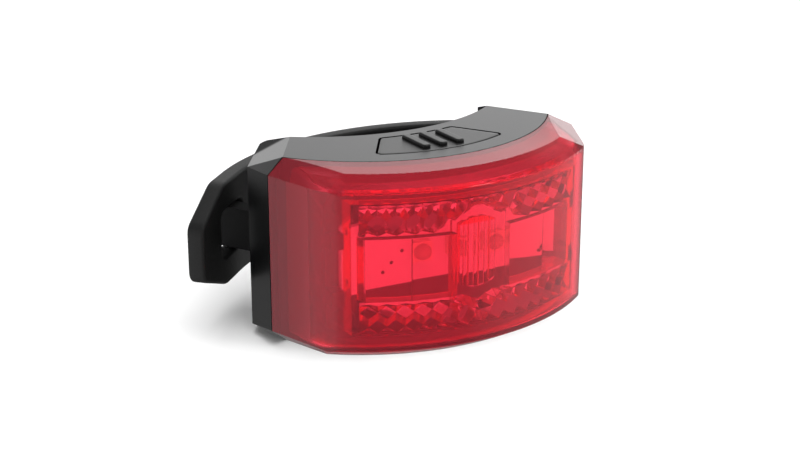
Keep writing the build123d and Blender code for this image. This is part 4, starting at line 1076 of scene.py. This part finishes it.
class Electronics(bpy.types.Operator):
    """Switch, boards, cell, leads, socket and fixings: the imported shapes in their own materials."""

    bl_idname = "rearlight.electronics"
    bl_label = "Electronics and fixings"

    def execute(self, context):
        # Green solder resist, printed and baked: deep even green with a slight sheen
        resist = moulded("solder_resist_green", colour("#0F4A2A"), colour("#14552F"), 0.35, 0.3, 0.1)
        give(resist, "switch_board", "charge_board")
        # Moulded nylon: dull black, its edges barely catching light
        nylon = moulded("nylon_black", colour("#141415"), colour("#1A1A1B"), 0.5, 0.2, 0.2)
        give(nylon, "switch_body", "switch_plunger")
        # Moulded epoxy of a chip's case: matt black
        epoxy = moulded("epoxy_black", colour("#121213"), colour("#18181A"), 0.6, 0.1, 0.3)
        give(epoxy, "driver_chip")
        # Pressed and fired ferrite: rough dark grey
        ferrite = moulded("ferrite_grey", colour("#3B3B3E"), colour("#46464A"), 0.7, 0.15, 0.4)
        give(ferrite, "power_inductor")
        # Polyimide film over copper: smooth amber
        film = moulded("polyimide_amber", colour("#B4691D"), colour("#C1772A"), 0.25, 0.4, 0.1)
        give(film, "switch_ribbon")
        # Nickel-plated steel, bright from the bath: pale metal with soft reflections
        nickel = moulded("steel_nickel_plated", colour("#C9CDD0"), colour("#BFC2C2"), 0.3, 0.1, 0.1,
                         Metallic=1.0)
        give(nickel, "strap_pin", "charge_socket")
        # Steel with a black oxide coat: dark metal, only its edges lighter
        oxide = moulded("steel_black_oxide", colour("#2A2A2C"), colour("#242426"), 0.4, 0.1, 0.1,
                        Metallic=1.0)
        give(oxide, "carrier_screws")
        # Aluminium laminate, pressed round the cell: silvery with slow soft waves
        foil = moulded("aluminium_laminate", colour("#C4C6CA"), colour("#B4B6BA"), 0.35, 0.8, 0.4,
                       Metallic=1.0)
        give(foil, "battery_cell")
        # Extruded PVC of the leads: smooth, in black and red
        give(moulded("pvc_black", colour("#101010"), colour("#151515"), 0.4, 0.2, 0.1), "battery_lead_black")
        give(moulded("pvc_red", colour("#A31616"), colour("#8E1212"), 0.4, 0.2, 0.1), "battery_lead_red")
        # Fired ceramic of the capacitors: dull tan blocks
        tan = moulded("ceramic_tan", colour("#A98B62"), colour("#9C7E57"), 0.5, 0.2, 0.1)
        give(tan, "board_capacitors")
        return {"FINISHED"}


class LightPanel(bpy.types.Panel):
    """Lists the pieces of the rear light, its sizes and its colours."""

    bl_idname = "VIEW3D_PT_rearlight"
    bl_label = "Rear light"
    bl_space_type = "VIEW_3D"
    bl_region_type = "UI"
    bl_category = "Rear Light"

    def draw(self, context):
        for group in (context.scene.rearlight_sizes, context.scene.rearlight_colours):
            box = self.layout.box()
            for name in group.bl_rna.properties.keys():
                if name not in ("rna_type", "name"):
                    box.prop(group, name)
        for each in PIECES:
            self.layout.operator(each.bl_idname)


PIECES = (LightStage, LensCover, LensSeal, PushPad, Strap, ChargeFlap, BatteryPad, Housing, LampBoard,
          Electronics)
CLASSES = (LightSizes, LightColours) + PIECES + (LightPanel,)


def register():
    """Adds the classes, and the two groups to the scene."""
    for each in CLASSES:
        bpy.utils.register_class(each)
    bpy.types.Scene.rearlight_sizes = PointerProperty(type=LightSizes)
    bpy.types.Scene.rearlight_colours = PointerProperty(type=LightColours)


def unregister():
    """Takes away what register added, in turn."""
    del bpy.types.Scene.rearlight_colours
    del bpy.types.Scene.rearlight_sizes
    for each in reversed(CLASSES):
        bpy.utils.unregister_class(each)


def main():
    register()
    bpy.ops.rearlight.stage()
    bpy.ops.rearlight.lens()
    bpy.ops.rearlight.seal()
    bpy.ops.rearlight.push_pad()
    bpy.ops.rearlight.strap()
    bpy.ops.rearlight.charge_flap()
    bpy.ops.rearlight.battery_pad()
    bpy.ops.rearlight.housing()
    bpy.ops.rearlight.lamp_board()
    bpy.ops.rearlight.electronics()


if __name__ == "__main__":
    main()
